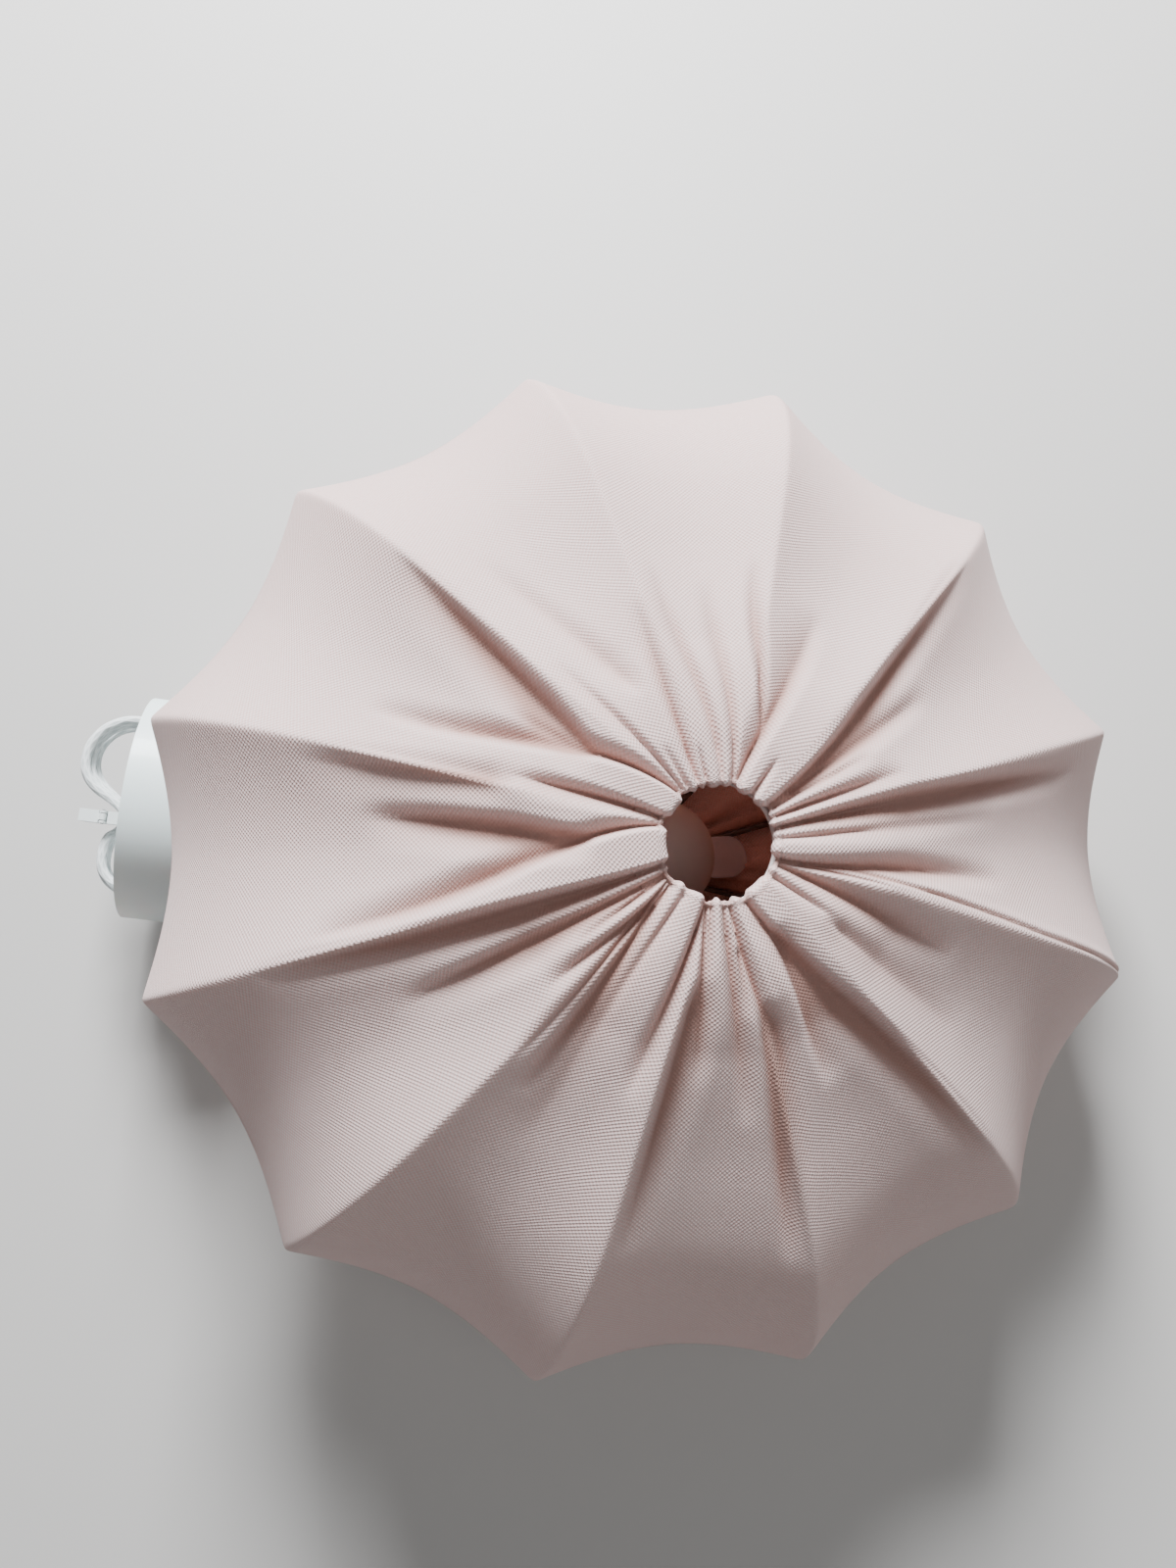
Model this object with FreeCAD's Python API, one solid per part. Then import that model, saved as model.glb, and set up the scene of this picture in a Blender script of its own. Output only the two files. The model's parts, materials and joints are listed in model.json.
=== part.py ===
"""Pendant lamp shade: a stretch-fabric cover gathered over a twelve-rib wire frame.

The shade lies on the floor with its light opening facing up. It leans on the ceiling
cup, which lies on its side under the raised edge with the tied hank of cord in its mouth.
Shade pieces are built upright about the shade's own axis, with the cord end at the
bottom, and are then leaned. Cup pieces are built about the cup's axis, from its closed
end to its mouth, and are then laid down. Millimetres, +Z up, origin on the floor
straight below the shade's centre.
"""
import FreeCAD, Part
import math
import os

from FreeCAD import Vector

# ---- Driving dimensions: the shade -------------------------------------------------
cover_radius = 260.0          # outside of the fabric over a rib, at the equator
cover_half_height = 107.0     # outside of the fabric above the shade's centre
opening_radius = 24.0         # gathered opening at each end
rib_count = 12
wire_diameter = 3.5
fabric_thickness = 1.2
fabric_clearance = 0.3        # between a wire and the fabric
panel_sag = 9.0               # how far a panel's middle sinks in at the equator
panel_steps = 16              # rows of a panel in each arc of a rib
panel_shares = (-1, -0.5, 0, 0.5, 1)
sew_tolerance = 0.01
nose_radius = 10.0            # bend of a rib at the equator
shoulder_angle = 20.0         # where the flat arc of a rib meets its shoulder arc
nose_angle = 65.0             # where the shoulder arc meets the nose bend
bottom_ring_radius = 45.0     # centreline of the ring at the light opening
top_ring_radius = 34.0        # centreline of the ring at the cord end
weld_bite = 0.6               # how far a welded wire sinks in the one it meets
elastic_diameter = 3.0
hem_depth = 3.5               # elastic centreline behind the edge of the opening
lean = 13.0                   # degrees, towards +X

# ---- Driving dimensions: lamp holder and bulb --------------------------------------
carrier_recess = 16.0         # carrier plate above the top ring
carrier_thickness = 1.2
carrier_rim_width = 6.0       # plate outside the holder's skirt
arm_bite = 1.0                # how far an arm's head sinks in the plate's rim
arm_count = 3
arm_diameter = 3.0
skirt_room = 2.7              # between the screw shell and the inside of the skirt
skirt_wall = 2.6
skirt_length = 38.0           # skirt above the carrier plate
skirt_clearance = 0.4
shoulder_width = 2.5          # shoulder outside the skirt
shoulder_height = 2.5
retaining_ring_width = 7.0    # ring outside the skirt
retaining_ring_height = 8.0
notch_count = 24
notch_radius = 1.2
notch_rise = 0.5              # notch centre outside the ring's edge
cap_height = 10.5
cap_wall = 2.0
grip_wall = 3.25              # grip round the cord, at the cap
grip_lip = 0.8                # grip round the cord, at its thin end
grip_flange = 1.0             # part of the grip inside the cap
grip_length = 6.0
insert_height = 7.0
insert_rise = 2.5             # top of the insert above the carrier plate
bulb_clearance = 0.9          # between the bulb's screw cap and the screw shell
insert_clearance = 0.3
screw_shell_wall = 0.5
screw_shell_height = 24.0
contact_radius = 3.0
contact_height = 2.0
contact_gap = 0.2
bulb_radius = 30.0
bulb_glass = 1.2
bulb_cap_radius = 13.3
bulb_cap_length = 25.0
bulb_collar_height = 20.0
bulb_collar_radius = 21.0
bulb_length = 106.0
bulb_insulator_height = 3.0
thread_pitch = 3.6
thread_depth = 0.8
collar_lip = 0.7              # collar outside the screw cap
globe_neck_angle = -28.0      # where the globe's neck leaves its round part
globe_side_angle = 31.0       # a point half way from there to the crown

# ---- Driving dimensions: cord, cup and fittings ------------------------------------
cord_diameter = 5.5
cord_clearance = 0.3
cup_radius = 63.0
cup_depth = 52.0
cup_wall = 2.0
cup_edge_radius = 5.0
cup_pitch = 15.0              # the mouth points this far above level
cup_heading = 188.0           # direction in which the mouth points, seen from above
cup_bearing = 187.2           # direction of the cup from the shade's centre
cup_clearance = 0.6           # between the cup and the shade that leans on it
cup_steps = 24                # steps in the search for the cup's place
bush_wall = 1.95
bush_flange_width = 4.0
bush_hole_clearance = 0.1
bush_flange_thickness = 3.0
bush_reach_out = 8.0
bush_reach_in = 12.0
nut_width = 4.0               # nut outside the bush, at its corners
nut_height = 5.0
nut_clearance = 0.3
hank_thickness = 24.0
hank_level = -8.0             # middle of the hank below the cup's axis
hank_room = 6.0               # between the hank and the cup's wall
large_lobe_gap = 2.0          # large lobe ends this far before the strap's middle
large_lobe_depth = 60.0
small_lobe_gap = 4.0          # small lobe starts this far before the strap's middle
small_lobe_depth = 50.0
waist_offset = 9.0
waist_width = 12.0
waist_depth = 54.0
waist_breadth = 16.0
tie_width = 6.0
tie_thickness = 2.0
clip_length = 22.0
clip_width = 7.0
clip_leaf_thickness = 2.0
clip_gap = 0.5
clip_pin_radius = 0.9
clip_pin_clearance = 0.3
clip_knuckle = 1.9            # radius of the eye round the pin
clip_ear = 1.2
clip_pin_share = 0.42         # pin's place along the clip
clip_pin_end = 0.5            # pin beyond each side of the clip
clip_root_drop = 2.0          # clip's root below the top of the waist
clip_base_share = 0.9         # lower leaf's length as a share of the upper's
block_size = (22.0, 12.0, 16.0)
block_level = 14.0
block_depth = 8.0
terminal_screw_radius = 2.2
terminal_screw_depth = 5.0
terminal_clearance = 0.3
screw_sink = 0.5              # screw head below the block's face
slot_width = 0.8
tail_bite = 2.0               # end of the cord inside the terminal block
label_width = 25.0
label_length = 34.0
label_thickness = 0.5
label_radius_place = 62.0     # middle of the care label from the shade's axis
label_bearing = 4.0
label_stand_off = 4.0

# Route of the cord from the lamp holder to the cup, along the floor under the shade.
# The first point is on the holder's grip and the last two are on the cup's axis.
cord_floor_route = [
    (-33.5, -0.6, 3.6),
    (-50.0, -1.5, 2.95),
    (-78.0, -8.0, 2.95),
    (-106.0, -15.0, 2.95),
    (-134.0, -19.5, 5.0),
    (-160.0, -22.0, 17.0),
    (-183.0, -24.2, 33.5),
]
cord_exit_drop = 9.5          # first run of the cord out of the grip
cord_bush_lead = 24.0         # run of the cord in line with the cup's axis
cord_hank_bite = 4.0          # end of the cord inside the hank
cord_bend_share = 0.45        # share of a run that a bend takes at each end

# ---- Derived sizes -----------------------------------------------------------------
wire_radius = wire_diameter / 2
elastic_radius = elastic_diameter / 2
cord_radius = cord_diameter / 2
screw_shell_radius = bulb_cap_radius + bulb_clearance
skirt_inside = screw_shell_radius + screw_shell_wall + skirt_room
skirt_radius = skirt_inside + skirt_wall
shoulder_radius = skirt_radius + shoulder_width
carrier_rim_radius = skirt_radius + carrier_rim_width
retaining_ring_radius = skirt_radius + retaining_ring_width
grip_radius = cord_radius + grip_wall
bush_radius = cord_radius + cord_clearance + bush_wall
bush_flange_radius = bush_radius + bush_flange_width
nut_radius = bush_radius + nut_width
hank_half_width = cup_radius - cup_wall - hank_room
large_lobe_radius = (hank_half_width + waist_offset - large_lobe_gap) / 2
large_lobe_offset = large_lobe_radius - hank_half_width
small_lobe_radius = (hank_half_width - waist_offset + small_lobe_gap) / 2
small_lobe_offset = hank_half_width - small_lobe_radius
inner_offset = wire_radius + fabric_clearance
outer_offset = inner_offset + fabric_thickness
rib_reach = cover_radius - outer_offset
rib_height = cover_half_height - outer_offset


def solve_rib_radii():
    """Radii of the flat arc and the shoulder arc that end a rib at its reach and height."""
    s1 = math.sin(math.radians(shoulder_angle))
    c1 = math.cos(math.radians(shoulder_angle))
    s2 = math.sin(math.radians(nose_angle))
    c2 = math.cos(math.radians(nose_angle))
    across = rib_reach - opening_radius - nose_radius * (1 - s2)
    down = rib_height - nose_radius * c2
    # flat * s1 + shoulder * (s2 - s1) = across
    # flat * (1 - c1) + shoulder * (c1 - c2) = down
    determinant = s1 * (c1 - c2) - (s2 - s1) * (1 - c1)
    flat = (across * (c1 - c2) - (s2 - s1) * down) / determinant
    shoulder = (s1 * down - (1 - c1) * across) / determinant
    return flat, shoulder


flat_radius, shoulder_radius_rib = solve_rib_radii()
centre_height = (opening_radius * math.sin(math.radians(lean))
                 + (rib_height - flat_radius) * math.cos(math.radians(lean))
                 + flat_radius + outer_offset)


def polar(centre, radius, angle):
    """Point of an arc in the XZ plane; the angle counts from +Z towards +X."""
    turn = math.radians(angle)
    return (centre[0] + radius * math.sin(turn), centre[1] + radius * math.cos(turn))


def rib_arcs():
    """Centre, radius and end angles of the upper flat, upper shoulder and nose arcs."""
    flat_centre = (opening_radius, rib_height - flat_radius)
    shoulder_centre = polar(flat_centre, flat_radius - shoulder_radius_rib, shoulder_angle)
    nose_centre = polar(shoulder_centre, shoulder_radius_rib - nose_radius, nose_angle)
    return [(flat_centre, flat_radius, 0.0, shoulder_angle),
            (shoulder_centre, shoulder_radius_rib, shoulder_angle, nose_angle),
            (nose_centre, nose_radius, nose_angle, 90.0)]


def ring_angle(radius):
    """Angle on the flat arc at which a rib's centreline is this far from the axis."""
    return math.degrees(math.asin((radius - opening_radius) / flat_radius))


def ring_level(radius):
    """Height of a rib's centreline above the shade's centre at this distance."""
    return polar((opening_radius, rib_height - flat_radius), flat_radius, ring_angle(radius))[1]


def profile(offset, steps):
    """Points and outward normals of the rib line moved out by offset, top to bottom."""
    upper = []
    for centre, radius, start, end in rib_arcs():
        for step in range(steps):
            angle = start + (end - start) * step / steps
            upper.append((polar(centre, radius + offset, angle), angle))
    nose_centre, radius = rib_arcs()[2][0], rib_arcs()[2][1]
    middle = [(polar(nose_centre, radius + offset, 90.0), 90.0)]
    lower = [((point[0], -point[1]), 180.0 - angle) for point, angle in reversed(upper)]
    return upper + middle + lower


def underside_level(distance):
    """Height of the cover's underside over the ribs below the shade's centre."""
    for centre, radius, start, end in rib_arcs():
        edge = polar(centre, radius + outer_offset, end)[0]
        if distance <= edge:
            across = max(distance - centre[0], 0.0)
            reach = radius + outer_offset
            return -(centre[1] + math.sqrt(reach * reach - across * across))
    return 0.0


# ---- Placements --------------------------------------------------------------------
shade_place = FreeCAD.Placement(Vector(0, 0, centre_height),
                                FreeCAD.Rotation(Vector(0, 1, 0), lean))


def cup_frame():
    """Sideways, up and outward directions of the cup as it lies."""
    pitch = math.radians(cup_pitch)
    heading = math.radians(cup_heading)
    outward = Vector(math.cos(pitch) * math.cos(heading),
                     math.cos(pitch) * math.sin(heading), math.sin(pitch))
    sideways = outward.cross(Vector(0, 0, 1)).normalize().negative()
    upward = outward.cross(sideways)
    return sideways, upward, outward


def cup_placement(distance):
    """Cup lying with the edge of its closed end on the floor, this far from the centre."""
    pitch = math.radians(cup_pitch)
    bearing = math.radians(cup_bearing)
    level = ((cup_radius - cup_edge_radius) * math.cos(pitch) + cup_edge_radius
             - cup_edge_radius * math.sin(pitch))
    sideways, upward, outward = cup_frame()
    base = Vector(distance * math.cos(bearing), distance * math.sin(bearing), level)
    return FreeCAD.Placement(base, FreeCAD.Rotation(sideways, upward, outward, "ZXY"))


def cup_room(distance):
    """Smallest gap between the shade's underside and the cup at this distance."""
    place = cup_placement(distance)
    to_shade = shade_place.inverse()
    gaps = []
    for depth_step in range(cup_steps + 1):
        depth = cup_depth * depth_step / cup_steps
        for turn_step in range(cup_steps + 1):
            turn = math.pi * turn_step / cup_steps
            rim = Vector(cup_radius * math.cos(turn), cup_radius * math.sin(turn), depth)
            point = to_shade.multVec(place.multVec(rim))
            gaps.append(underside_level(math.hypot(point.x, point.y)) - point.z)
    return min(gaps)


def cup_distance():
    """Distance at which the raised edge of the shade just clears the cup."""
    near = 0.3 * cover_radius
    far = 1.6 * cover_radius
    for _ in range(50):
        middle = (near + far) / 2
        if cup_room(middle) < cup_clearance:
            near = middle
        else:
            far = middle
    return far


# ---- Small helpers -----------------------------------------------------------------
def turned(points):
    """Solid of revolution about Z from a closed outline of (radius, height) points."""
    corners = [Vector(radius, 0, height) for radius, height in points]
    face = Part.Face(Part.makePolygon(corners + [corners[0]]))
    return face.revolve(Vector(0, 0, 0), Vector(0, 0, 1), 360)


def tube(outer, inner, start, end):
    """Round tube about Z between two heights."""
    return turned([(inner, start), (outer, start), (outer, end), (inner, end)])


def disc(radius, start, end):
    """Round bar about Z between two heights."""
    return Part.makeCylinder(radius, end - start, Vector(0, 0, start))


def arc_edge(start, middle, end):
    """Arc through three points given as vectors."""
    return Part.Arc(start, middle, end).toShape()


def profile_arc(centre, radius, start, end):
    """Arc of the rib line as an edge in the XZ plane."""
    points = [polar(centre, radius, angle) for angle in (start, (start + end) / 2, end)]
    return arc_edge(*[Vector(point[0], 0, point[1]) for point in points])


def flipped(arc):
    """The same arc mirrored below the shade's centre, walked from the equator down."""
    centre, radius, start, end = arc
    return ((centre[0], -centre[1]), radius, 180.0 - end, 180.0 - start)


def swept(path, radius, origin, direction):
    """Round wire or cord along a path of tangent edges."""
    section = Part.Wire([Part.makeCircle(radius, origin, direction)])
    return Part.Wire(path).makePipeShell([section], True, True)


# ---- Frame -------------------------------------------------------------------------
def make_rib(index):
    """One wire rib from the bottom ring over the equator to the top ring."""
    flat, shoulder, nose = rib_arcs()
    first = ring_angle(bottom_ring_radius + wire_radius - weld_bite)
    last = ring_angle(top_ring_radius + wire_radius - weld_bite)
    upper_flat = (flat[0], flat[1], first, flat[3])
    lower_flat = flipped((flat[0], flat[1], last, flat[3]))
    whole_nose = (nose[0], nose[1], nose[2], 180.0 - nose[2])
    arcs = [upper_flat, shoulder, whole_nose, flipped(shoulder), lower_flat]
    start = polar(flat[0], flat[1], first)
    heading = Vector(math.cos(math.radians(first)), 0, -math.sin(math.radians(first)))
    rib = swept([profile_arc(*arc) for arc in arcs], wire_radius,
                Vector(start[0], 0, start[1]), heading)
    rib.rotate(Vector(0, 0, 0), Vector(0, 0, 1), 360.0 / rib_count * index)
    return rib


def make_ring(radius, side):
    """Wire ring at the light end (side 1) or the cord end (side -1)."""
    return Part.makeTorus(radius, wire_radius, Vector(0, 0, side * ring_level(radius)))


def plate_level():
    """Underside of the carrier plate above the shade's centre."""
    return -ring_level(top_ring_radius) + carrier_recess


def make_carrier():
    """Plate for the lamp holder, hung inside the top ring on three wire arms."""
    low = plate_level()
    plate = tube(carrier_rim_radius, skirt_radius + skirt_clearance, low, low + carrier_thickness)
    foot = Vector(top_ring_radius - wire_radius + weld_bite - arm_diameter / 2, 0,
                  -ring_level(top_ring_radius))
    head = Vector(carrier_rim_radius - arm_diameter / 2 + arm_bite, 0, low + carrier_thickness / 2)
    run = head - foot
    arm = Part.makeCylinder(arm_diameter / 2, run.Length, foot, run)
    arm = arm.fuse(Part.makeSphere(arm_diameter / 2, foot))
    carrier = plate
    for index in range(arm_count):
        copy = arm.copy()
        copy.rotate(Vector(0, 0, 0), Vector(0, 0, 1), 360.0 / arm_count * (index + 0.25))
        carrier = carrier.fuse(copy)
    return carrier.removeSplitter()


# ---- Fabric ------------------------------------------------------------------------
def freedom(radius):
    """0 where the fabric bears on the bottom ring, 1 where only the ribs carry it."""
    return min(1.0, max(0.0, (radius - bottom_ring_radius - wire_diameter) / bottom_ring_radius))


def panel_point(point, angle, share):
    """Point of a panel: share runs from -1 to 1 between two ribs."""
    half_turn = math.pi / rib_count
    turn = share * half_turn
    free = freedom(point[0])
    chord = point[0] * (1 - free * (1 - math.cos(half_turn) / math.cos(turn)))
    sink = free * panel_sag * point[0] / cover_radius * (1 - share * share)
    normal = math.radians(angle)
    radius = chord - sink * math.sin(normal)
    height = point[1] - sink * math.cos(normal)
    return Vector(radius * math.cos(turn), radius * math.sin(turn), height)


def panel_surface(offset):
    """Fabric surface between two ribs, from the light opening to the cord end."""
    rows = []
    for point, angle in profile(offset, panel_steps):
        rows.append([panel_point(point, angle, share) for share in panel_shares])
    surface = Part.BSplineSurface()
    surface.interpolate(rows)
    return surface


def make_cover():
    """Closed shell of the fabric cover, open at both gathered ends."""
    outer = panel_surface(outer_offset)
    inner = panel_surface(inner_offset)
    first, last = outer.bounds()[0], outer.bounds()[1]
    strips = []
    for edge_value in (first, last):
        outside = outer.uIso(edge_value).toShape()
        inside = inner.uIso(edge_value).toShape()
        strips.append(Part.makeRuledSurface(outside, inside))
    faces = []
    for index in range(rib_count):
        for shape in [outer.toShape(), inner.toShape()] + strips:
            copy = shape.copy()
            copy.rotate(Vector(0, 0, 0), Vector(0, 0, 1), 360.0 / rib_count * (index + 0.5))
            faces.extend(copy.Faces)
    shell = Part.makeShell(faces)
    shell.sewShape(sew_tolerance)
    solid = Part.makeSolid(Part.Shell(shell.Faces))
    if solid.Volume < 0:
        solid.reverse()
    return solid


def make_elastic(side):
    """Round elastic in the hem of a gathered opening."""
    level = side * (rib_height + inner_offset - elastic_radius - 2 * fabric_clearance)
    return Part.makeTorus(opening_radius + hem_depth, elastic_radius, Vector(0, 0, level))


def make_care_label():
    """Sewn-in care label hanging off the seam on the inside of the lower fabric face."""
    level = -(ring_level(label_radius_place) - wire_radius - label_stand_off)
    low = Vector(-label_length / 2, -label_width / 2, -label_thickness / 2)
    label = Part.makeBox(label_length, label_width, label_thickness, low)
    corners = [edge for edge in label.Edges if abs(edge.Length - label_thickness) < 0.01]
    label = label.makeFillet(label_width / 4, corners)
    slope = ring_angle(label_radius_place)
    label.rotate(Vector(0, 0, 0), Vector(0, 1, 0), -slope)
    label.translate(Vector(label_radius_place, 0, level))
    label.rotate(Vector(0, 0, 0), Vector(0, 0, 1), label_bearing + 180.0 / rib_count)
    return label


# ---- Lamp holder -------------------------------------------------------------------
def make_skirt():
    """Threaded skirt of the holder with the shoulder that bears on the carrier plate."""
    low = plate_level() - shoulder_height
    top = plate_level() + carrier_thickness + skirt_length
    inner = skirt_inside
    return turned([(inner, low), (shoulder_radius, low), (shoulder_radius, plate_level()),
                   (skirt_radius, plate_level()), (skirt_radius, top), (inner, top)])


def make_retaining_ring():
    """Ring that screws on the skirt and clamps the carrier plate."""
    low = plate_level() + carrier_thickness + skirt_clearance / 2
    ring = tube(retaining_ring_radius, skirt_radius + skirt_clearance, low,
                low + retaining_ring_height)
    for index in range(notch_count):
        notch = disc(notch_radius, low - 1, low + retaining_ring_height + 1)
        notch.translate(Vector(retaining_ring_radius + notch_rise, 0, 0))
        notch.rotate(Vector(0, 0, 0), Vector(0, 0, 1), 360.0 / notch_count * index)
        ring = ring.cut(notch)
    return ring


def cap_base():
    """Lower end of the holder's cap."""
    return plate_level() - shoulder_height - cap_height


def make_holder_cap():
    """Domed cap of the holder with the hole for the cord grip."""
    top = plate_level() - shoulder_height
    low = cap_base()
    bend = cap_height / 2
    return turned([(grip_radius, low), (shoulder_radius - bend, low),
                   (shoulder_radius, low + bend), (shoulder_radius, top),
                   (shoulder_radius - cap_wall, top), (shoulder_radius - cap_wall, low + bend),
                   (shoulder_radius - bend, low + cap_wall), (grip_radius, low + cap_wall)])


def make_cord_grip():
    """Tapered strain relief between the holder's cap and the cord."""
    low = cap_base() - grip_length
    inside = cap_base() + cap_wall
    return turned([(0, low), (cord_radius + grip_lip, low), (grip_radius, cap_base()),
                   (grip_radius, inside + grip_flange), (0, inside + grip_flange)])


def insert_top():
    """Face of the insulating insert under the bulb's contacts."""
    return plate_level() + carrier_thickness + insert_rise


def make_contact_insert():
    """Insulating insert that carries the holder's contacts."""
    return disc(skirt_inside - insert_clearance, insert_top() - insert_height, insert_top())


def make_screw_shell():
    """Screw shell of the holder, one turned tube."""
    return tube(screw_shell_radius + screw_shell_wall, screw_shell_radius, insert_top(),
                insert_top() + screw_shell_height)


def make_centre_contact():
    """Centre contact of the holder."""
    return disc(contact_radius, insert_top(), insert_top() + contact_height)


# ---- Bulb --------------------------------------------------------------------------
def bulb_base():
    """Lowest point of the bulb's centre contact."""
    return insert_top() + contact_height + contact_gap


def bulb_crown():
    """Highest point of the bulb."""
    return bulb_base() + bulb_length


def make_bulb_screw_cap():
    """Bulb's screw cap with its thread as turned ridges."""
    low = bulb_base() + bulb_insulator_height
    outline = [(bulb_cap_radius - thread_depth, low)]
    level = low + thread_pitch / 2
    top = low + bulb_cap_length
    while level + thread_pitch < top:
        outline.append((bulb_cap_radius, level))
        outline.append((bulb_cap_radius - thread_depth, level + thread_pitch / 2))
        level += thread_pitch
    outline += [(bulb_cap_radius, top), (0, top), (0, low)]
    return turned(outline)


def make_bulb_insulator():
    """Insulating bead and centre contact under the screw cap."""
    low = bulb_base()
    top = low + bulb_insulator_height
    return turned([(0, low), (contact_radius, low), (bulb_cap_radius - 3 * thread_depth, top),
                   (0, top)])


def make_bulb_collar():
    """Tapered collar between the screw cap and the globe."""
    low = bulb_base() + bulb_insulator_height + bulb_cap_length
    top = low + bulb_collar_height
    return turned([(0, low), (bulb_cap_radius + collar_lip, low), (bulb_collar_radius, top), (0, top)])


def make_bulb_globe():
    """Hollow frosted globe that narrows to the collar."""
    base = bulb_base() + bulb_insulator_height + bulb_cap_length + bulb_collar_height
    middle = bulb_crown() - bulb_radius
    shapes = []
    for inset in (0.0, bulb_glass):
        radius = bulb_radius - inset
        mouth = bulb_collar_radius - inset
        neck = math.radians(globe_neck_angle)
        flank = math.radians(globe_side_angle)
        join = Vector(radius * math.cos(neck), 0, middle + radius * math.sin(neck))
        side = Vector(radius * math.cos(flank), 0, middle + radius * math.sin(flank))
        crown = Vector(0, 0, middle + radius)
        foot = Vector(mouth, 0, base + inset)
        floor = Vector(0, 0, base + inset)
        edges = [Part.LineSegment(floor, foot).toShape(), Part.LineSegment(foot, join).toShape(),
                 arc_edge(join, side, crown), Part.LineSegment(crown, floor).toShape()]
        face = Part.Face(Part.Wire(edges))
        shapes.append(face.revolve(Vector(0, 0, 0), Vector(0, 0, 1), 360))
    return shapes[0].cut(shapes[1])


# ---- Ceiling cup and its fittings --------------------------------------------------
def make_cup():
    """Ceiling cup with a rounded edge round its closed end and a hole for the bush."""
    block = disc(cup_radius, 0, cup_depth)
    closed_edge = [edge for edge in block.Edges if edge.BoundBox.ZMax < 0.01]
    block = block.makeFillet(cup_edge_radius, closed_edge)
    hollow = disc(cup_radius - cup_wall, cup_wall, cup_depth + 1)
    inner_edge = [edge for edge in hollow.Edges if edge.BoundBox.ZMax < cup_wall + 0.01]
    hollow = hollow.makeFillet(cup_edge_radius - cup_wall, inner_edge)
    return block.cut(hollow).cut(disc(bush_radius + bush_hole_clearance, -1, cup_wall + 1))


def make_bush():
    """Threaded cord bush through the closed end of the cup."""
    bore = cord_radius + cord_clearance
    return turned([(bore, -bush_reach_out), (bush_radius, -bush_reach_out),
                   (bush_radius, -bush_flange_thickness),
                   (bush_flange_radius, -bush_flange_thickness), (bush_flange_radius, 0),
                   (bush_radius, 0), (bush_radius, bush_reach_in), (bore, bush_reach_in)])


def make_nut():
    """Nut that clamps the bush from inside the cup."""
    low = cup_wall + nut_clearance
    nut = tube(nut_radius, bush_radius + nut_clearance, low, low + nut_height)
    hexagon = Part.makePolygon([
        Vector(nut_radius * math.cos(math.radians(60 * i)),
               nut_radius * math.sin(math.radians(60 * i)), low) for i in range(7)])
    prism = Part.Face(hexagon).extrude(Vector(0, 0, nut_height))
    return nut.common(prism)


def lobe(radius, offset, depth):
    """One lobe of the hank: a thick disc lying across the mouth of the cup."""
    low = hank_level - hank_thickness / 2
    return Part.makeCylinder(radius, hank_thickness, Vector(offset, low, depth), Vector(0, 1, 0))


def tie_outline(thickness, width):
    """Box round the waist of the hank, this much larger than the waist."""
    low = hank_level - hank_thickness / 2 - thickness
    corner = Vector(waist_offset - width / 2, low, waist_depth - waist_breadth / 2 - thickness)
    return Part.makeBox(width, hank_thickness + 2 * thickness, waist_breadth + 2 * thickness,
                        corner)


def make_tie():
    """Strap round the waist of the hank."""
    return tie_outline(tie_thickness, tie_width).cut(tie_outline(0.0, tie_width))


def make_hank():
    """Outer shape of the tied hank of cord: two lobes and the waist between them."""
    whole = lobe(large_lobe_radius, large_lobe_offset, large_lobe_depth)
    whole = whole.fuse(lobe(small_lobe_radius, small_lobe_offset, small_lobe_depth))
    whole = whole.fuse(tie_outline(0.0, waist_width))
    return whole.cut(tie_outline(tie_thickness, tie_width).cut(tie_outline(0.0, tie_width)))


def clip_origin():
    """Root of the clip on the strap, at the top of the hank on its outer side."""
    level = hank_level + hank_thickness / 2 + tie_thickness
    return Vector(waist_offset, level, waist_depth + waist_breadth / 2 - clip_root_drop)


def clip_pin_centre():
    """Middle of the clip's hinge pin."""
    level = clip_leaf_thickness + clip_gap + clip_knuckle
    return clip_origin() + Vector(0, level, clip_length * clip_pin_share)


def clip_leaf(low, start, end):
    """One flat leaf of the clip with the hole for the pin."""
    root = clip_origin()
    corner = Vector(root.x - clip_width / 2, root.y + low, root.z + start)
    return Part.makeBox(clip_width, clip_leaf_thickness, end - start, corner)


def clip_pin_bar(radius, length):
    """Bar along the clip's hinge axis."""
    middle = clip_pin_centre()
    start = Vector(middle.x - length / 2, middle.y, middle.z)
    return Part.makeCylinder(radius, length, start, Vector(1, 0, 0))


def make_clip_base():
    """Lower leaf of the clip, fast to the strap, with the two ears for the pin."""
    root = clip_origin()
    middle = clip_pin_centre()
    heel_length = middle.z - root.z - clip_knuckle - clip_gap
    heel = Part.makeBox(clip_width, 2 * clip_leaf_thickness + clip_gap, heel_length,
                        root - Vector(clip_width / 2, 0, 0))
    leaf = clip_leaf(0.0, 0.0, clip_length * clip_base_share).fuse(heel)
    for side in (-1, 1):
        start = Vector(middle.x + side * clip_width / 2 - (side + 1) / 2 * clip_ear, middle.y,
                       middle.z)
        leaf = leaf.fuse(Part.makeCylinder(clip_knuckle, clip_ear, start, Vector(1, 0, 0)))
        foot = Vector(start.x, root.y, middle.z - clip_knuckle)
        leaf = leaf.fuse(Part.makeBox(clip_ear, middle.y - root.y, 2 * clip_knuckle, foot))
    return leaf.cut(clip_pin_bar(clip_pin_radius, clip_width + 2)).removeSplitter()


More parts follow.
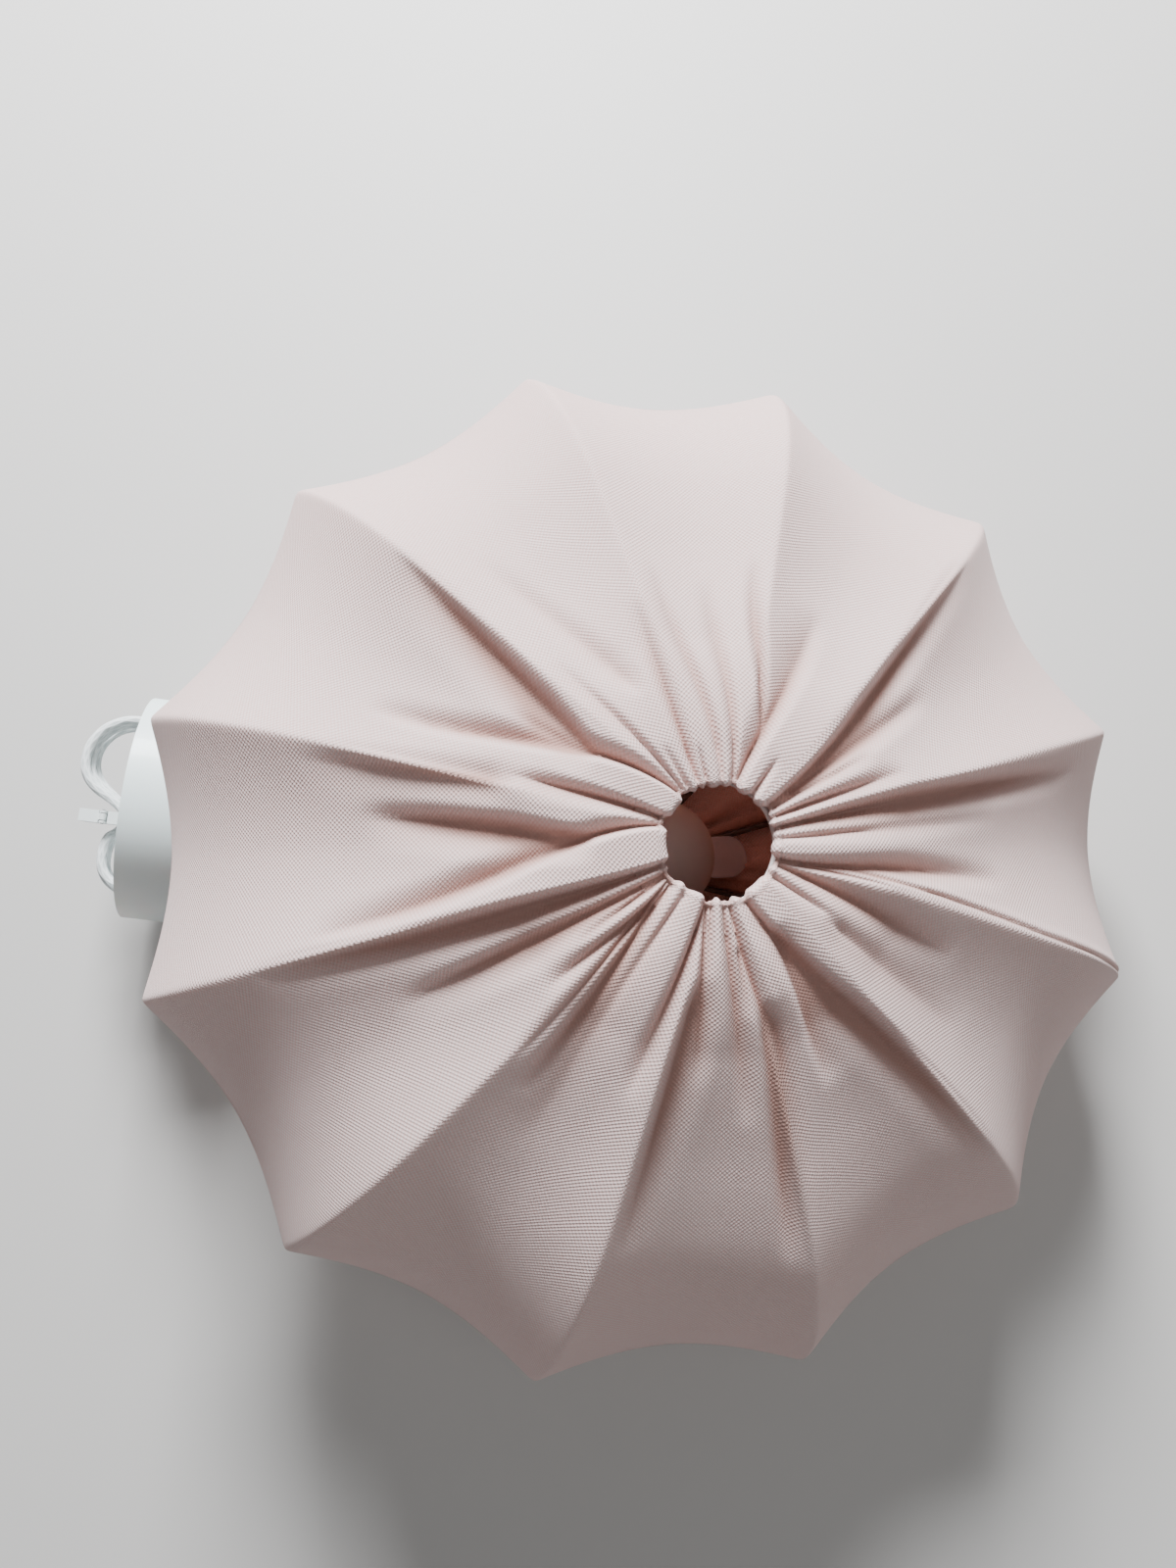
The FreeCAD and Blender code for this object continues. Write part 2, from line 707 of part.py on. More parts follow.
def make_clip_arm():
    """Upper leaf of the clip, which lifts about the pin."""
    root = clip_origin()
    middle = clip_pin_centre()
    low = clip_leaf_thickness + clip_gap
    arm = clip_leaf(low, clip_length * clip_pin_share, clip_length)
    inner_width = clip_width - 2 * (clip_ear + clip_gap)
    room = clip_knuckle + clip_gap
    for side in (-1, 1):
        corner = Vector(root.x + side * clip_width / 2 - (side + 1) / 2 * (clip_ear + clip_gap),
                        root.y, middle.z - room)
        pocket = Part.makeBox(clip_ear + clip_gap, 2 * low + room, 2 * room, corner)
        arm = arm.cut(pocket)
    start = Vector(middle.x - inner_width / 2, middle.y, middle.z)
    arm = arm.fuse(Part.makeCylinder(clip_knuckle, inner_width, start, Vector(1, 0, 0)))
    return arm.cut(clip_pin_bar(clip_pin_radius + clip_pin_clearance, clip_width + 2))


def make_clip_pin():
    """Metal pin of the clip."""
    return clip_pin_bar(clip_pin_radius, clip_width + 2 * clip_pin_end)


def block_corner():
    """Low corner of the terminal block in the cup."""
    return Vector(-block_size[0] / 2, block_level, block_depth)


def terminal_place(index):
    """Centre of a terminal screw's hole on the block's outer face."""
    return Vector((index - 0.5) * block_size[0] / 2, block_level + block_size[1] / 2,
                  block_depth + block_size[2])


def make_terminal_block():
    """Two-way terminal block at the end of the cord."""
    block = Part.makeBox(*block_size, block_corner())
    for index in range(2):
        mouth = terminal_place(index)
        start = mouth - Vector(0, 0, terminal_screw_depth + terminal_clearance)
        radius = terminal_screw_radius + terminal_clearance
        block = block.cut(Part.makeCylinder(radius, terminal_screw_depth + 1, start))
    return block


def make_terminal_screw(index):
    """Slotted terminal screw, sunk in the block."""
    start = terminal_place(index) - Vector(0, 0, terminal_screw_depth)
    screw = Part.makeCylinder(terminal_screw_radius, terminal_screw_depth - screw_sink, start)
    slot_floor = terminal_screw_depth - screw_sink - slot_width
    slot = Part.makeBox(2 * terminal_screw_radius, slot_width, slot_width,
                        start + Vector(-terminal_screw_radius, -slot_width / 2, slot_floor))
    return screw.cut(slot)


def make_cord_tail():
    """Short end of the cord between the hank and the terminal block."""
    low = hank_level + hank_thickness / 2
    start = Vector(0, low, block_depth + block_size[2] + cord_diameter)
    return Part.makeCylinder(cord_radius, block_level + tail_bite - low, start, Vector(0, 1, 0))


# ---- Cord --------------------------------------------------------------------------
def cord_route():
    """Corners of the cord's path from the holder's grip to the hank in the cup."""
    exit_level = cap_base() - grip_length
    grip_face = shade_place.multVec(Vector(0, 0, exit_level))
    below = shade_place.multVec(Vector(0, 0, exit_level - cord_exit_drop))
    bush_mouth = cup_place.multVec(Vector(0, 0, -bush_reach_out))
    lead = cup_place.multVec(Vector(0, 0, -bush_reach_out - cord_bush_lead))
    hank_face = cup_place.multVec(Vector(0, 0, large_lobe_depth - large_lobe_radius + cord_hank_bite))
    return ([grip_face, below] + [Vector(*point) for point in cord_floor_route]
            + [lead, bush_mouth, hank_face])


def rounded_path(points):
    """Straight runs joined by tangent arcs, with the radius of every arc."""
    edges = []
    radii = []
    last = points[0]
    for before, corner, after in zip(points, points[1:], points[2:]):
        back = before - corner
        ahead = after - corner
        turn = math.pi - back.getAngle(ahead)
        if turn < 1e-4:
            continue
        setback = cord_bend_share * min(back.Length, ahead.Length)
        radii.append(setback / math.tan(turn / 2))
        start = corner + back.normalize() * setback
        end = corner + ahead.normalize() * setback
        bisector = (back + ahead).normalize()
        centre = corner + bisector * (radii[-1] / math.cos(turn / 2))
        middle = centre - bisector * radii[-1]
        edges.append(Part.LineSegment(last, start).toShape())
        edges.append(arc_edge(start, middle, end))
        last = end
    edges.append(Part.LineSegment(last, points[-1]).toShape())
    return edges, radii


def make_cord():
    """Cord from the holder's grip along the floor and through the bush in the cup."""
    points = cord_route()
    edges, radii = rounded_path(points)
    cord = swept(edges, cord_radius, points[0], points[1] - points[0])
    length = sum(edge.Length for edge in edges)
    ideal = math.pi * cord_radius ** 2 * length
    print("cord radii", [round(radius, 1) for radius in radii])
    print("cord length", round(length, 1), "volume share", round(cord.Volume / ideal, 4))
    print("cord lowest point", round(cord.BoundBox.ZMin, 3))
    print("cord route", [tuple(round(value, 1) for value in point) for point in points])
    return cord


# ---- Write every piece -------------------------------------------------------------
def save(name, shape, place):
    """Place one piece and write it to its own file."""
    placed = shape.copy()
    placed.Placement = place.multiply(placed.Placement)
    placed.exportStep("parts/" + name + ".step")
    box = placed.BoundBox
    print(name, "valid" if placed.isValid() else "NOT VALID", len(placed.Solids), "solids",
          round(placed.Volume / 1000, 2), "cm3",
          [round(value, 1) for value in (box.XMin, box.YMin, box.ZMin, box.XMax, box.YMax,
                                         box.ZMax)])


os.makedirs("parts", exist_ok=True)
cup_place = cup_placement(cup_distance())
print("flat arc", round(flat_radius, 2), "shoulder arc", round(shoulder_radius_rib, 2),
      "centre height", round(centre_height, 3))
print("cup base", cup_place.Base, "distance", round(cup_distance(), 3))

for number in range(rib_count):
    save("rib_%02d" % (number + 1), make_rib(number), shade_place)

shade_pieces = {
    "bottom_ring": make_ring(bottom_ring_radius, 1),
    "top_ring": make_ring(top_ring_radius, -1),
    "holder_carrier": make_carrier(),
    "fabric_cover": make_cover(),
    "bottom_elastic": make_elastic(1),
    "top_elastic": make_elastic(-1),
    "care_label": make_care_label(),
    "holder_skirt": make_skirt(),
    "retaining_ring": make_retaining_ring(),
    "holder_cap": make_holder_cap(),
    "cord_grip": make_cord_grip(),
    "contact_insert": make_contact_insert(),
    "screw_shell": make_screw_shell(),
    "centre_contact": make_centre_contact(),
    "bulb_screw_cap": make_bulb_screw_cap(),
    "bulb_insulator": make_bulb_insulator(),
    "bulb_collar": make_bulb_collar(),
    "bulb_globe": make_bulb_globe(),
}
for piece_name, piece in shade_pieces.items():
    save(piece_name, piece, shade_place)

cup_pieces = {
    "ceiling_cup": make_cup(),
    "cord_bush": make_bush(),
    "bush_nut": make_nut(),
    "cord_hank": make_hank(),
    "hank_tie": make_tie(),
    "clip_base": make_clip_base(),
    "clip_arm": make_clip_arm(),
    "clip_pin": make_clip_pin(),
    "terminal_block": make_terminal_block(),
    "terminal_screw_1": make_terminal_screw(0),
    "terminal_screw_2": make_terminal_screw(1),
    "cord_tail": make_cord_tail(),
}
for piece_name, piece in cup_pieces.items():
    save(piece_name, piece, cup_place)

save("cord", make_cord(), FreeCAD.Placement())
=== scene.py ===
"""Looks of the pendant shade: gathered stretch fabric, cord, cup, holder and bulb.

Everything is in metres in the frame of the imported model. Shade pieces are worked out
about the shade's own axis and leaned with it, and cup pieces about the cup's axis.
"""
import json
import logging
import math
import random
from dataclasses import dataclass
from enum import Enum

import bpy
import numpy as np
from mathutils import Matrix, Vector


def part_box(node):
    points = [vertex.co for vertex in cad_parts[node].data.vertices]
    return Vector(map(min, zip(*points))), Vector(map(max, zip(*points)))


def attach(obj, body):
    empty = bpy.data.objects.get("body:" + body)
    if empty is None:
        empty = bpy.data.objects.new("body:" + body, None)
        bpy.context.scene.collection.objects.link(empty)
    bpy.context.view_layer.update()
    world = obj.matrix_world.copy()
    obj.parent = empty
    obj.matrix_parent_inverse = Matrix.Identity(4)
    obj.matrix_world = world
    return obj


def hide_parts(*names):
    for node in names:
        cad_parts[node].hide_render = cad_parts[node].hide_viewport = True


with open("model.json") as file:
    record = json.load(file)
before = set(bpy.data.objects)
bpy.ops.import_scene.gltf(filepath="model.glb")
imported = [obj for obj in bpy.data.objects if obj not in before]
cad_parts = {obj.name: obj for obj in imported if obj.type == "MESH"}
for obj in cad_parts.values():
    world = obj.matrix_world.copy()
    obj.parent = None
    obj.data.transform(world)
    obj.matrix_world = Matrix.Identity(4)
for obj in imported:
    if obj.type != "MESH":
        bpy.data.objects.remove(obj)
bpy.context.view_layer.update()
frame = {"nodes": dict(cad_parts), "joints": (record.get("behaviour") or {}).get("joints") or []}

LOG = logging.getLogger("shade")
BODY = "shade"
Triple = tuple[float, float, float]
Socket = bpy.types.NodeSocket
Piece = bpy.types.Object
Array = np.ndarray


class Face(Enum):
    """The two gathered faces of the shade."""

    LIGHT = 1
    CORD = -1


# ---- Places taken from the frame ----
def joint(name: str) -> dict:
    """Return the joint of that name."""
    return next(item for item in frame["joints"] if item["name"] == name)


def axes_at(place: object, first: Vector, second: Vector, third: Vector) -> Matrix:
    """Return the matrix of three axes at a place."""
    turn = Matrix((first, second, third)).transposed().to_4x4()
    return Matrix.Translation(place) @ turn


def shade_matrix() -> Matrix:
    """Return the place of the shade: its axis and its centre.

    Returns:
        Matrix from the shade's own axes to the model's.
    """
    axis = Vector(joint("bulb_unscrew")["axis"]).normalized()
    across = Vector((0.0, 1.0, 0.0))
    along = across.cross(axis)
    low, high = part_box("fabric_cover")
    return axes_at((0.0, 0.0, (low.z + high.z) / 2), along, across, axis)


def cup_matrix() -> Matrix:
    """Return the place of the cup: its closed end and its axis, with Y pointing up.

    Returns:
        Matrix from the cup's own axes to the model's.
    """
    turning = joint("bush_nut_turn")
    outward = Vector(turning["axis"]).normalized()
    sideways = -outward.cross(Vector((0.0, 0.0, 1.0))).normalized()
    upward = outward.cross(sideways)
    return axes_at(turning["pos_m"], sideways, upward, outward)


SHADE = shade_matrix()
CUP = cup_matrix()


def placed(name: str, data: bpy.types.ID) -> Piece:
    """Return a new object that holds the data, linked to the scene.

    Args:
        name: the object's name.
        data: its mesh, curve, light or camera.

    Returns:
        The linked object.
    """
    piece = bpy.data.objects.new(name, data)
    bpy.context.collection.objects.link(piece)
    return piece


def smooth_mesh(name: str, points: list, faces: list) -> bpy.types.Mesh:
    """Return a new mesh of the points and faces, shaded smooth.

    Args:
        name: the mesh's name.
        points: corner positions.
        faces: corner indices of each face.

    Returns:
        The mesh.
    """
    mesh = bpy.data.meshes.new(name)
    mesh.from_pydata(points, [], faces)
    mesh.polygons.foreach_set("use_smooth", [True] * len(mesh.polygons))
    return mesh


# ---- Small node helpers ----
class Nodes:
    """A material's node tree with short ways to add and join nodes."""

    def __init__(self, name: str) -> None:
        """Start an empty node tree.

        Args:
            name: the material's name.
        """
        self.material = bpy.data.materials.new(name)
        self.material.use_nodes = True
        self.tree = self.material.node_tree
        self.tree.nodes.clear()
        self.output = self.tree.nodes.new("ShaderNodeOutputMaterial")

    def add(self, kind: str, **values: object) -> bpy.types.Node:
        """Add a node.

        Args:
            kind: the node's type without its ShaderNode prefix.
            **values: properties of the node.

        Returns:
            The new node.
        """
        node = self.tree.nodes.new("ShaderNode" + kind)
        for name, value in values.items():
            setattr(node, name, value)
        return node

    def join(self, source: Socket, target: Socket) -> None:
        """Link an output socket to an input socket."""
        self.tree.links.new(source, target)

    def feed(self, target: Socket, value: object) -> None:
        """Link a socket to the target, or set the target to a plain value.

        Args:
            target: the input socket.
            value: a socket or a plain value.
        """
        if isinstance(value, Socket):
            self.join(value, target)
        else:
            target.default_value = value

    def maths(self, operation: str, first: object, second: object = 0.0) -> Socket:
        """Return the output of a maths node.

        Args:
            operation: the operation's name.
            first: a socket or a number.
            second: a socket or a number.

        Returns:
            The value socket.
        """
        node = self.add("Math", operation=operation)
        self.feed(node.inputs[0], first)
        self.feed(node.inputs[1], second)
        return node.outputs[0]

    def mix(self, share: object, low: object, high: object) -> Socket:
        """Return a colour mixed between two colours.

        Args:
            share: a socket or a number from 0 to 1.
            low: colour at 0, a socket or a tuple.
            high: colour at 1, a socket or a tuple.

        Returns:
            The colour socket.
        """
        node = self.add("Mix", data_type="RGBA")
        self.feed(node.inputs[0], share)
        for socket, value in ((node.inputs[6], low), (node.inputs[7], high)):
            self.feed(socket, (*value, 1.0) if isinstance(value, tuple) else value)
        return node.outputs[2]

    def ramp(self, source: object, *ends: float) -> Socket:
        """Return the source mapped between two ranges.

        Args:
            source: a socket or a number.
            *ends: low and high of the source, then low and high of the result if not 0 and 1.

        Returns:
            The clamped value socket.
        """
        node = self.add("MapRange", clamp=True)
        self.feed(node.inputs[0], source)
        for index, end in enumerate(ends, 1):
            node.inputs[index].default_value = end
        return node.outputs[0]

    def weave(self) -> bpy.types.NodeOutputs:
        """Return the coordinates that a weave runs by, split into its two ways.

        Returns:
            The sockets along and across, and one more that isn't used.
        """
        split = self.add("SeparateXYZ")
        self.join(self.add("UVMap", uv_map="weave").outputs["UV"], split.inputs[0])
        return split.outputs

    def noise(self, scale: float, detail: float) -> Socket:
        """Return the value of a noise texture in the object's own coordinates.

        Args:
            scale: how fine the noise is.
            detail: how many finer layers it has.

        Returns:
            The value socket.
        """
        node = self.add("TexNoise")
        node.inputs["Scale"].default_value = scale
        node.inputs["Detail"].default_value = detail
        self.join(self.add("TexCoord").outputs["Object"], node.inputs["Vector"])
        return node.outputs["Fac"]

    def bump(self, height: Socket, distance: float) -> Socket:
        """Return a bumped normal.

        Args:
            height: height socket from 0 to 1.
            distance: height in metres at 1.

        Returns:
            The normal socket.
        """
        node = self.add("Bump")
        node.inputs["Strength"].default_value = 1.0
        node.inputs["Distance"].default_value = distance
        self.join(height, node.inputs["Height"])
        return node.outputs["Normal"]

    def principled(self, **values: object) -> bpy.types.Node:
        """Add a principled shader.

        Args:
            **values: socket names with spaces as underscores, and their values.

        Returns:
            The shader node, not yet joined to the output.
        """
        shader = self.add("BsdfPrincipled")
        for name, value in values.items():
            socket = shader.inputs[name.replace("_", " ")]
            if isinstance(value, tuple) and len(value) == 3:
                value = (*value, 1.0)
            self.feed(socket, value)
        return shader

    def finish(self, shader: bpy.types.Node) -> bpy.types.Material:
        """Join the shader to the output and return the material."""
        self.join(shader.outputs[0], self.output.inputs["Surface"])
        return self.material


# ---- Finishes ----
@dataclass(frozen=True)
class ShadeFabric:
    """Pale dusty-pink stretch canvas, whiter on its raised threads, with painted shadow darkening
    its folds and the seam's groove.
    """

    thread: Triple = (0.96, 0.845, 0.82)
    ground: Triple = (0.88, 0.575, 0.535)
    # Colour of the painted shadow in the folds' valleys and the seam's groove.
    painted_fold_shadow: Triple = (0.50, 0.285, 0.235)
    pitch: float = 0.0021
    relief: float = 0.00025
    through: Triple = (0.82, 0.57, 0.49)
    glow: float = 0.24
    # Share of the painted fold shadow where it is fullest.
    fold_shadow_tint: float = 0.9
    mottle_tint: float = 0.10
    rough_low: float = 0.92
    rough_high: float = 0.78

    def make(self) -> bpy.types.Material:
        """Make the fabric: weave, painted shadow in the folds and the seam's groove, faint
        mottling and glow.

        Returns:
            The material.
        """
        nodes = Nodes("shade_fabric")
        turns = 2 * math.pi / self.pitch
        across, along = (nodes.maths("SINE", nodes.maths("MULTIPLY", way, turns))
                         for way in list(nodes.weave())[:2])
        weave = nodes.maths("MULTIPLY", across, along)
        height = nodes.ramp(weave, -0.75, 0.9)
        fleck = nodes.noise(900.0, 2.0)
        mottle = nodes.noise(14.0, 4.0)
        # Share of painted shadow carried on the mesh, fuller where the folds sink further.
        fold_shadow_share = nodes.add("Attribute", attribute_name="fold_shadow_share").outputs["Fac"]
        shade = nodes.maths("ADD", nodes.maths("MULTIPLY", height, 0.55),
                            nodes.maths("MULTIPLY", fleck, 0.45))
        colour = nodes.mix(nodes.ramp(shade, 0.10, 0.80), self.ground, self.thread)
        # Mix in the painted fold shadow, then the random mottling.
        for source, ends, share, tint in ((fold_shadow_share, (0.0, 1.0), self.fold_shadow_tint, self.painted_fold_shadow),
                                          (mottle, (0.35, 0.75), self.mottle_tint, self.ground)):
            colour = nodes.mix(nodes.maths("MULTIPLY", nodes.ramp(source, *ends), share),
                               colour, tint)
        rough = nodes.ramp(height, 0.0, 1.0, self.rough_low, self.rough_high)
        relief = nodes.maths("ADD", height, nodes.maths("MULTIPLY", fleck, 0.35))
        normal = nodes.bump(relief, self.relief)
        cloth = nodes.principled(Base_Color=colour, Roughness=rough,
                                 Sheen_Weight=0.25, Sheen_Roughness=0.45,
                                 Specular_IOR_Level=0.2, Normal=normal)
        cloth.inputs["Sheen Tint"].default_value = (1.0, 0.95, 0.94, 1.0)
        back = nodes.add("BsdfTranslucent")
        back.inputs["Color"].default_value = (*self.through, 1.0)
        both = nodes.add("MixShader")
        both.inputs[0].default_value = self.glow
        nodes.join(cloth.outputs[0], both.inputs[1])
        nodes.join(back.outputs[0], both.inputs[2])
        return nodes.finish(both)


@dataclass(frozen=True)
class Moulded:
    """Moulded or coated surface with fine grain and soft mottling."""

    name: str
    colour: Triple
    roughness: float = 0.4
    grain: float = 0.00003
    grain_scale: float = 900.0
    metallic: float = 0.0
    coat: float = 0.0
    soil: float = 0.06
    glow: float = 0.0

    def make(self) -> bpy.types.Material:
        """Make the surface, mottled in its colour and its gloss.

        Returns:
            The material.
        """
        nodes = Nodes(self.name)
        mottle = nodes.noise(35.0, 4.0)
        grain = nodes.noise(self.grain_scale, 2.0)
        darker = tuple(value * (1 - 2.5 * self.soil) for value in self.colour)
        colour = nodes.mix(nodes.ramp(mottle, 0.4, 0.9), self.colour, darker)
        rough = nodes.ramp(mottle, 0.0, 1.0, self.roughness * 0.85,
                           min(1.0, self.roughness * 1.2))
        shader = nodes.principled(Base_Color=colour, Roughness=rough,
                                  Metallic=self.metallic, Coat_Weight=self.coat,
                                  Subsurface_Weight=self.glow,
                                  Normal=nodes.bump(grain, self.grain))
        return nodes.finish(shader)


@dataclass(frozen=True)
class BraidedTextile:
    """White textile braid: crossing yarns wound round the cord."""

    colour: Triple = (0.86, 0.88, 0.88)
    dark: Triple = (0.66, 0.70, 0.70)
    yarns: int = 12
    braid_pitch: float = 0.012
    relief: float = 0.00018

    def make(self) -> bpy.types.Material:
        """Make the braid, wound along the cord's own coordinates.

        Returns:
            The material.
        """
        nodes = Nodes("cord_textile")
        ways = nodes.weave()
        along = nodes.maths("MULTIPLY", ways[0], 2 * math.pi / self.braid_pitch)
        around = nodes.maths("MULTIPLY", ways[1], 2 * math.pi * self.yarns / 2)
        left = nodes.maths("SINE", nodes.maths("ADD", around, along))
        right = nodes.maths("SINE", nodes.maths("SUBTRACT", around, along))
        height = nodes.ramp(nodes.maths("MAXIMUM", left, right), -0.4, 1.0)
        colour = nodes.mix(height, self.dark, self.colour)
        shader = nodes.principled(Base_Color=colour, Roughness=0.8, Sheen_Weight=0.3,
                                  Normal=nodes.bump(height, self.relief))
        return nodes.finish(shader)


# ---- Fabric cover ----
def across_path(bearing: Array, path: Array, radius: Array) -> Array:
    """Return the distance across from a path given by its bearing in degrees."""
    return np.radians((bearing - path + 180.0) % 360.0 - 180.0) * radius


@dataclass(frozen=True)
class FoldShape:
    """Profile that all folds share, in metres and shares."""

    scale: float = 2.2
    hem: float = 0.021
    full_radius: float = 0.075
    least_breadth: float = 0.30
    most_breadth: float = 1.25
    breadth_power: float = 0.85
    spread: float = 2.6
    valley_power: float = 2.0
    pinch: float = 0.38
    pinch_from: float = 0.0255
    pinch_rise: float = 0.006
    pinch_least: float = 0.1
    pinch_to: float = 0.095
    pinch_fall: float = 0.045
    pinch_width: float = 0.26
    pinch_power: float = 1.3
    hem_depth: float = 0.27
    hem_run: float = 0.20
    free_run: float = 0.12
    fade_power: float = 2.2


FOLDS = FoldShape()


@dataclass(frozen=True)
class Fold:
    """One valley between two gathers.

    Bearings are degrees round the shade's axis from the seam's rib, and the rest metres.
    """

    bearing: float
    turn: float
    reach: float
    depth: float
    before: float
    after: float
    bend: float = 2.0
    start: float = 0.020

    def sink(self, bearing: Array, radius: Array) -> Array:
        """Return how far the fabric sinks in this fold.

        Args:
            bearing: degrees round the axis at every point.
            radius: distance from the axis at every point.

        Returns:
            Depths in metres.
        """
        share = np.clip((radius - self.start) / (self.reach - self.start), 0.0, 1.0)
        path = self.bearing + self.turn * (1 - (1 - share) ** self.bend)
        across = across_path(bearing, path, radius)
        breadth = np.clip(radius / FOLDS.full_radius, FOLDS.least_breadth,
                          FOLDS.most_breadth) ** FOLDS.breadth_power
        width = np.where(across < 0, self.before, self.after) * breadth * FOLDS.spread
        near = np.abs(across) / width
        risen = np.clip((radius - FOLDS.pinch_from) / FOLDS.pinch_rise, FOLDS.pinch_least, 1.0)
        fallen = np.clip((FOLDS.pinch_to - radius) / FOLDS.pinch_fall, 0.0, 1.0)
        pinch = FOLDS.pinch * fallen * risen
        crease = np.clip(1 - near / FOLDS.pinch_width, 0.0, 1.0) ** FOLDS.pinch_power
        valley = ((1 - pinch) * np.clip(1 - near, 0.0, 1.0) ** FOLDS.valley_power
                  + pinch * crease)
        if self.start > FOLDS.hem:
            rise = np.clip(share / FOLDS.free_run, 0.0, 1.0) * (radius >= self.start)
        else:
            run = np.clip(share / FOLDS.hem_run, 0.0, 1.0)
            rise = FOLDS.hem_depth + (1 - FOLDS.hem_depth) * run
        fade = (1 - share ** FOLDS.fade_power) * rise
        return FOLDS.scale * self.depth * fade * valley


LIGHT_FOLDS = (
    Fold(-6, -3, 0.130, 0.0060, 0.0045, 0.0045, 1.6),
    Fold(-3.5, 12, 0.150, 0.0062, 0.0028, 0.0034, 3.0),
    Fold(-1, 2, 0.082, 0.0028, 0.0018, 0.0018),
    Fold(17.5, 3, 0.150, 0.0030, 0.0030, 0.0050),
    Fold(28.6, -2.4, 0.205, 0.0088, 0.0040, 0.0026),
    Fold(39, -4, 0.098, 0.0048, 0.0030, 0.0030),
    Fold(47.5, -4, 0.088, 0.0040, 0.0028, 0.0020),
    Fold(48.0, 12, 0.200, 0.0072, 0.0046, 0.0024, 1.6),
    Fold(48.7, -1, 0.135, 0.0058, 0.0028, 0.0040),
    Fold(68.5, 0, 0.044, 0.0030, 0.0026, 0.0026),
    Fold(89, -12, 0.125, 0.0050, 0.0026, 0.0060, 3.0),
    Fold(80, 13.5, 0.135, 0.0042, 0.0018, 0.0020, 2.4, 0.048),
    Fold(89.5, 14, 0.125, 0.0036, 0.0020, 0.0028),
    Fold(100, 15, 0.130, 0.0034, 0.0020, 0.0028),
    Fold(117, 0, 0.042, 0.0022, 0.0020, 0.0020),
    Fold(125, -3, 0.112, 0.0040, 0.0028, 0.0030, 1.5),
    Fold(135.5, 0, 0.047, 0.0026, 0.0022, 0.0022),
    Fold(139.5, 6, 0.105, 0.0024, 0.0016, 0.0032, 1.6),
    Fold(132, 10, 0.170, 0.0018, 0.0034, 0.0034, 1.3, 0.072),
    Fold(142, 30, 0.165, 0.0070, 0.0036, 0.0020, 2.2),
    Fold(159, -8, 0.188, 0.0076, 0.0024, 0.0070, 2.0, 0.064),
    Fold(160.8, 0, 0.108, 0.0028, 0.0020, 0.0020, 2.0, 0.074),
    Fold(171.5, 5, 0.096, 0.0066, 0.0024, 0.0040, 1.5),
    Fold(178.5, 4, 0.182, 0.0036, 0.0040, 0.0060, 1.5, 0.090),
    Fold(176.5, 31, 0.176, 0.0070, 0.0042, 0.0020, 2.8),
    Fold(193.8, -4.3, 0.156, 0.0080, 0.0028, 0.0060, 2.5, 0.054),
    Fold(216.2, -5.5, 0.202, 0.0080, 0.0024, 0.0052, 1.5),
    Fold(224, -2.5, 0.156, 0.0070, 0.0024, 0.0050, 1.5),
    Fold(226, 3, 0.076, 0.0040, 0.0020, 0.0020),
    Fold(236, -1.5, 0.096, 0.0050, 0.0030, 0.0030, 2.0, 0.038),
    Fold(227.5, 13.5, 0.122, 0.0050, 0.0020, 0.0022, 3.5),
    Fold(231, 15, 0.136, 0.0066, 0.0024, 0.0042, 3.5),
    Fold(248, 4, 0.160, 0.0026, 0.0050, 0.0050, 1.5),
    Fold(270.5, -5.5, 0.116, 0.0050, 0.0026, 0.0030),
    Fold(270.5, 9.5, 0.106, 0.0048, 0.0020, 0.0030, 1.8),
    Fold(275.2, -2.5, 0.182, 0.0052, 0.0024, 0.0060, 1.5, 0.058),
    Fold(274.5, 4, 0.058, 0.0026, 0.0020, 0.0020),
    Fold(286, 6, 0.126, 0.0050, 0.0026, 0.0030),
    Fold(291, 9.5, 0.108, 0.0050, 0.0024, 0.0028),
    Fold(300.5, -3.5, 0.192, 0.0060, 0.0024, 0.0060, 1.5, 0.070),
    Fold(294, 0, 0.076, 0.0030, 0.0020, 0.0020, 2.0, 0.044),
    Fold(306.5, 22.5, 0.202, 0.0080, 0.0062, 0.0026, 3.2),
    Fold(317, -5, 0.122, 0.0060, 0.0020, 0.0070, 2.0, 0.042),
    Fold(342, 0, 0.062, 0.0026, 0.0040, 0.0040),
    Fold(340, 0, 0.152, 0.0022, 0.0060, 0.0060, 2.0, 0.056),
)


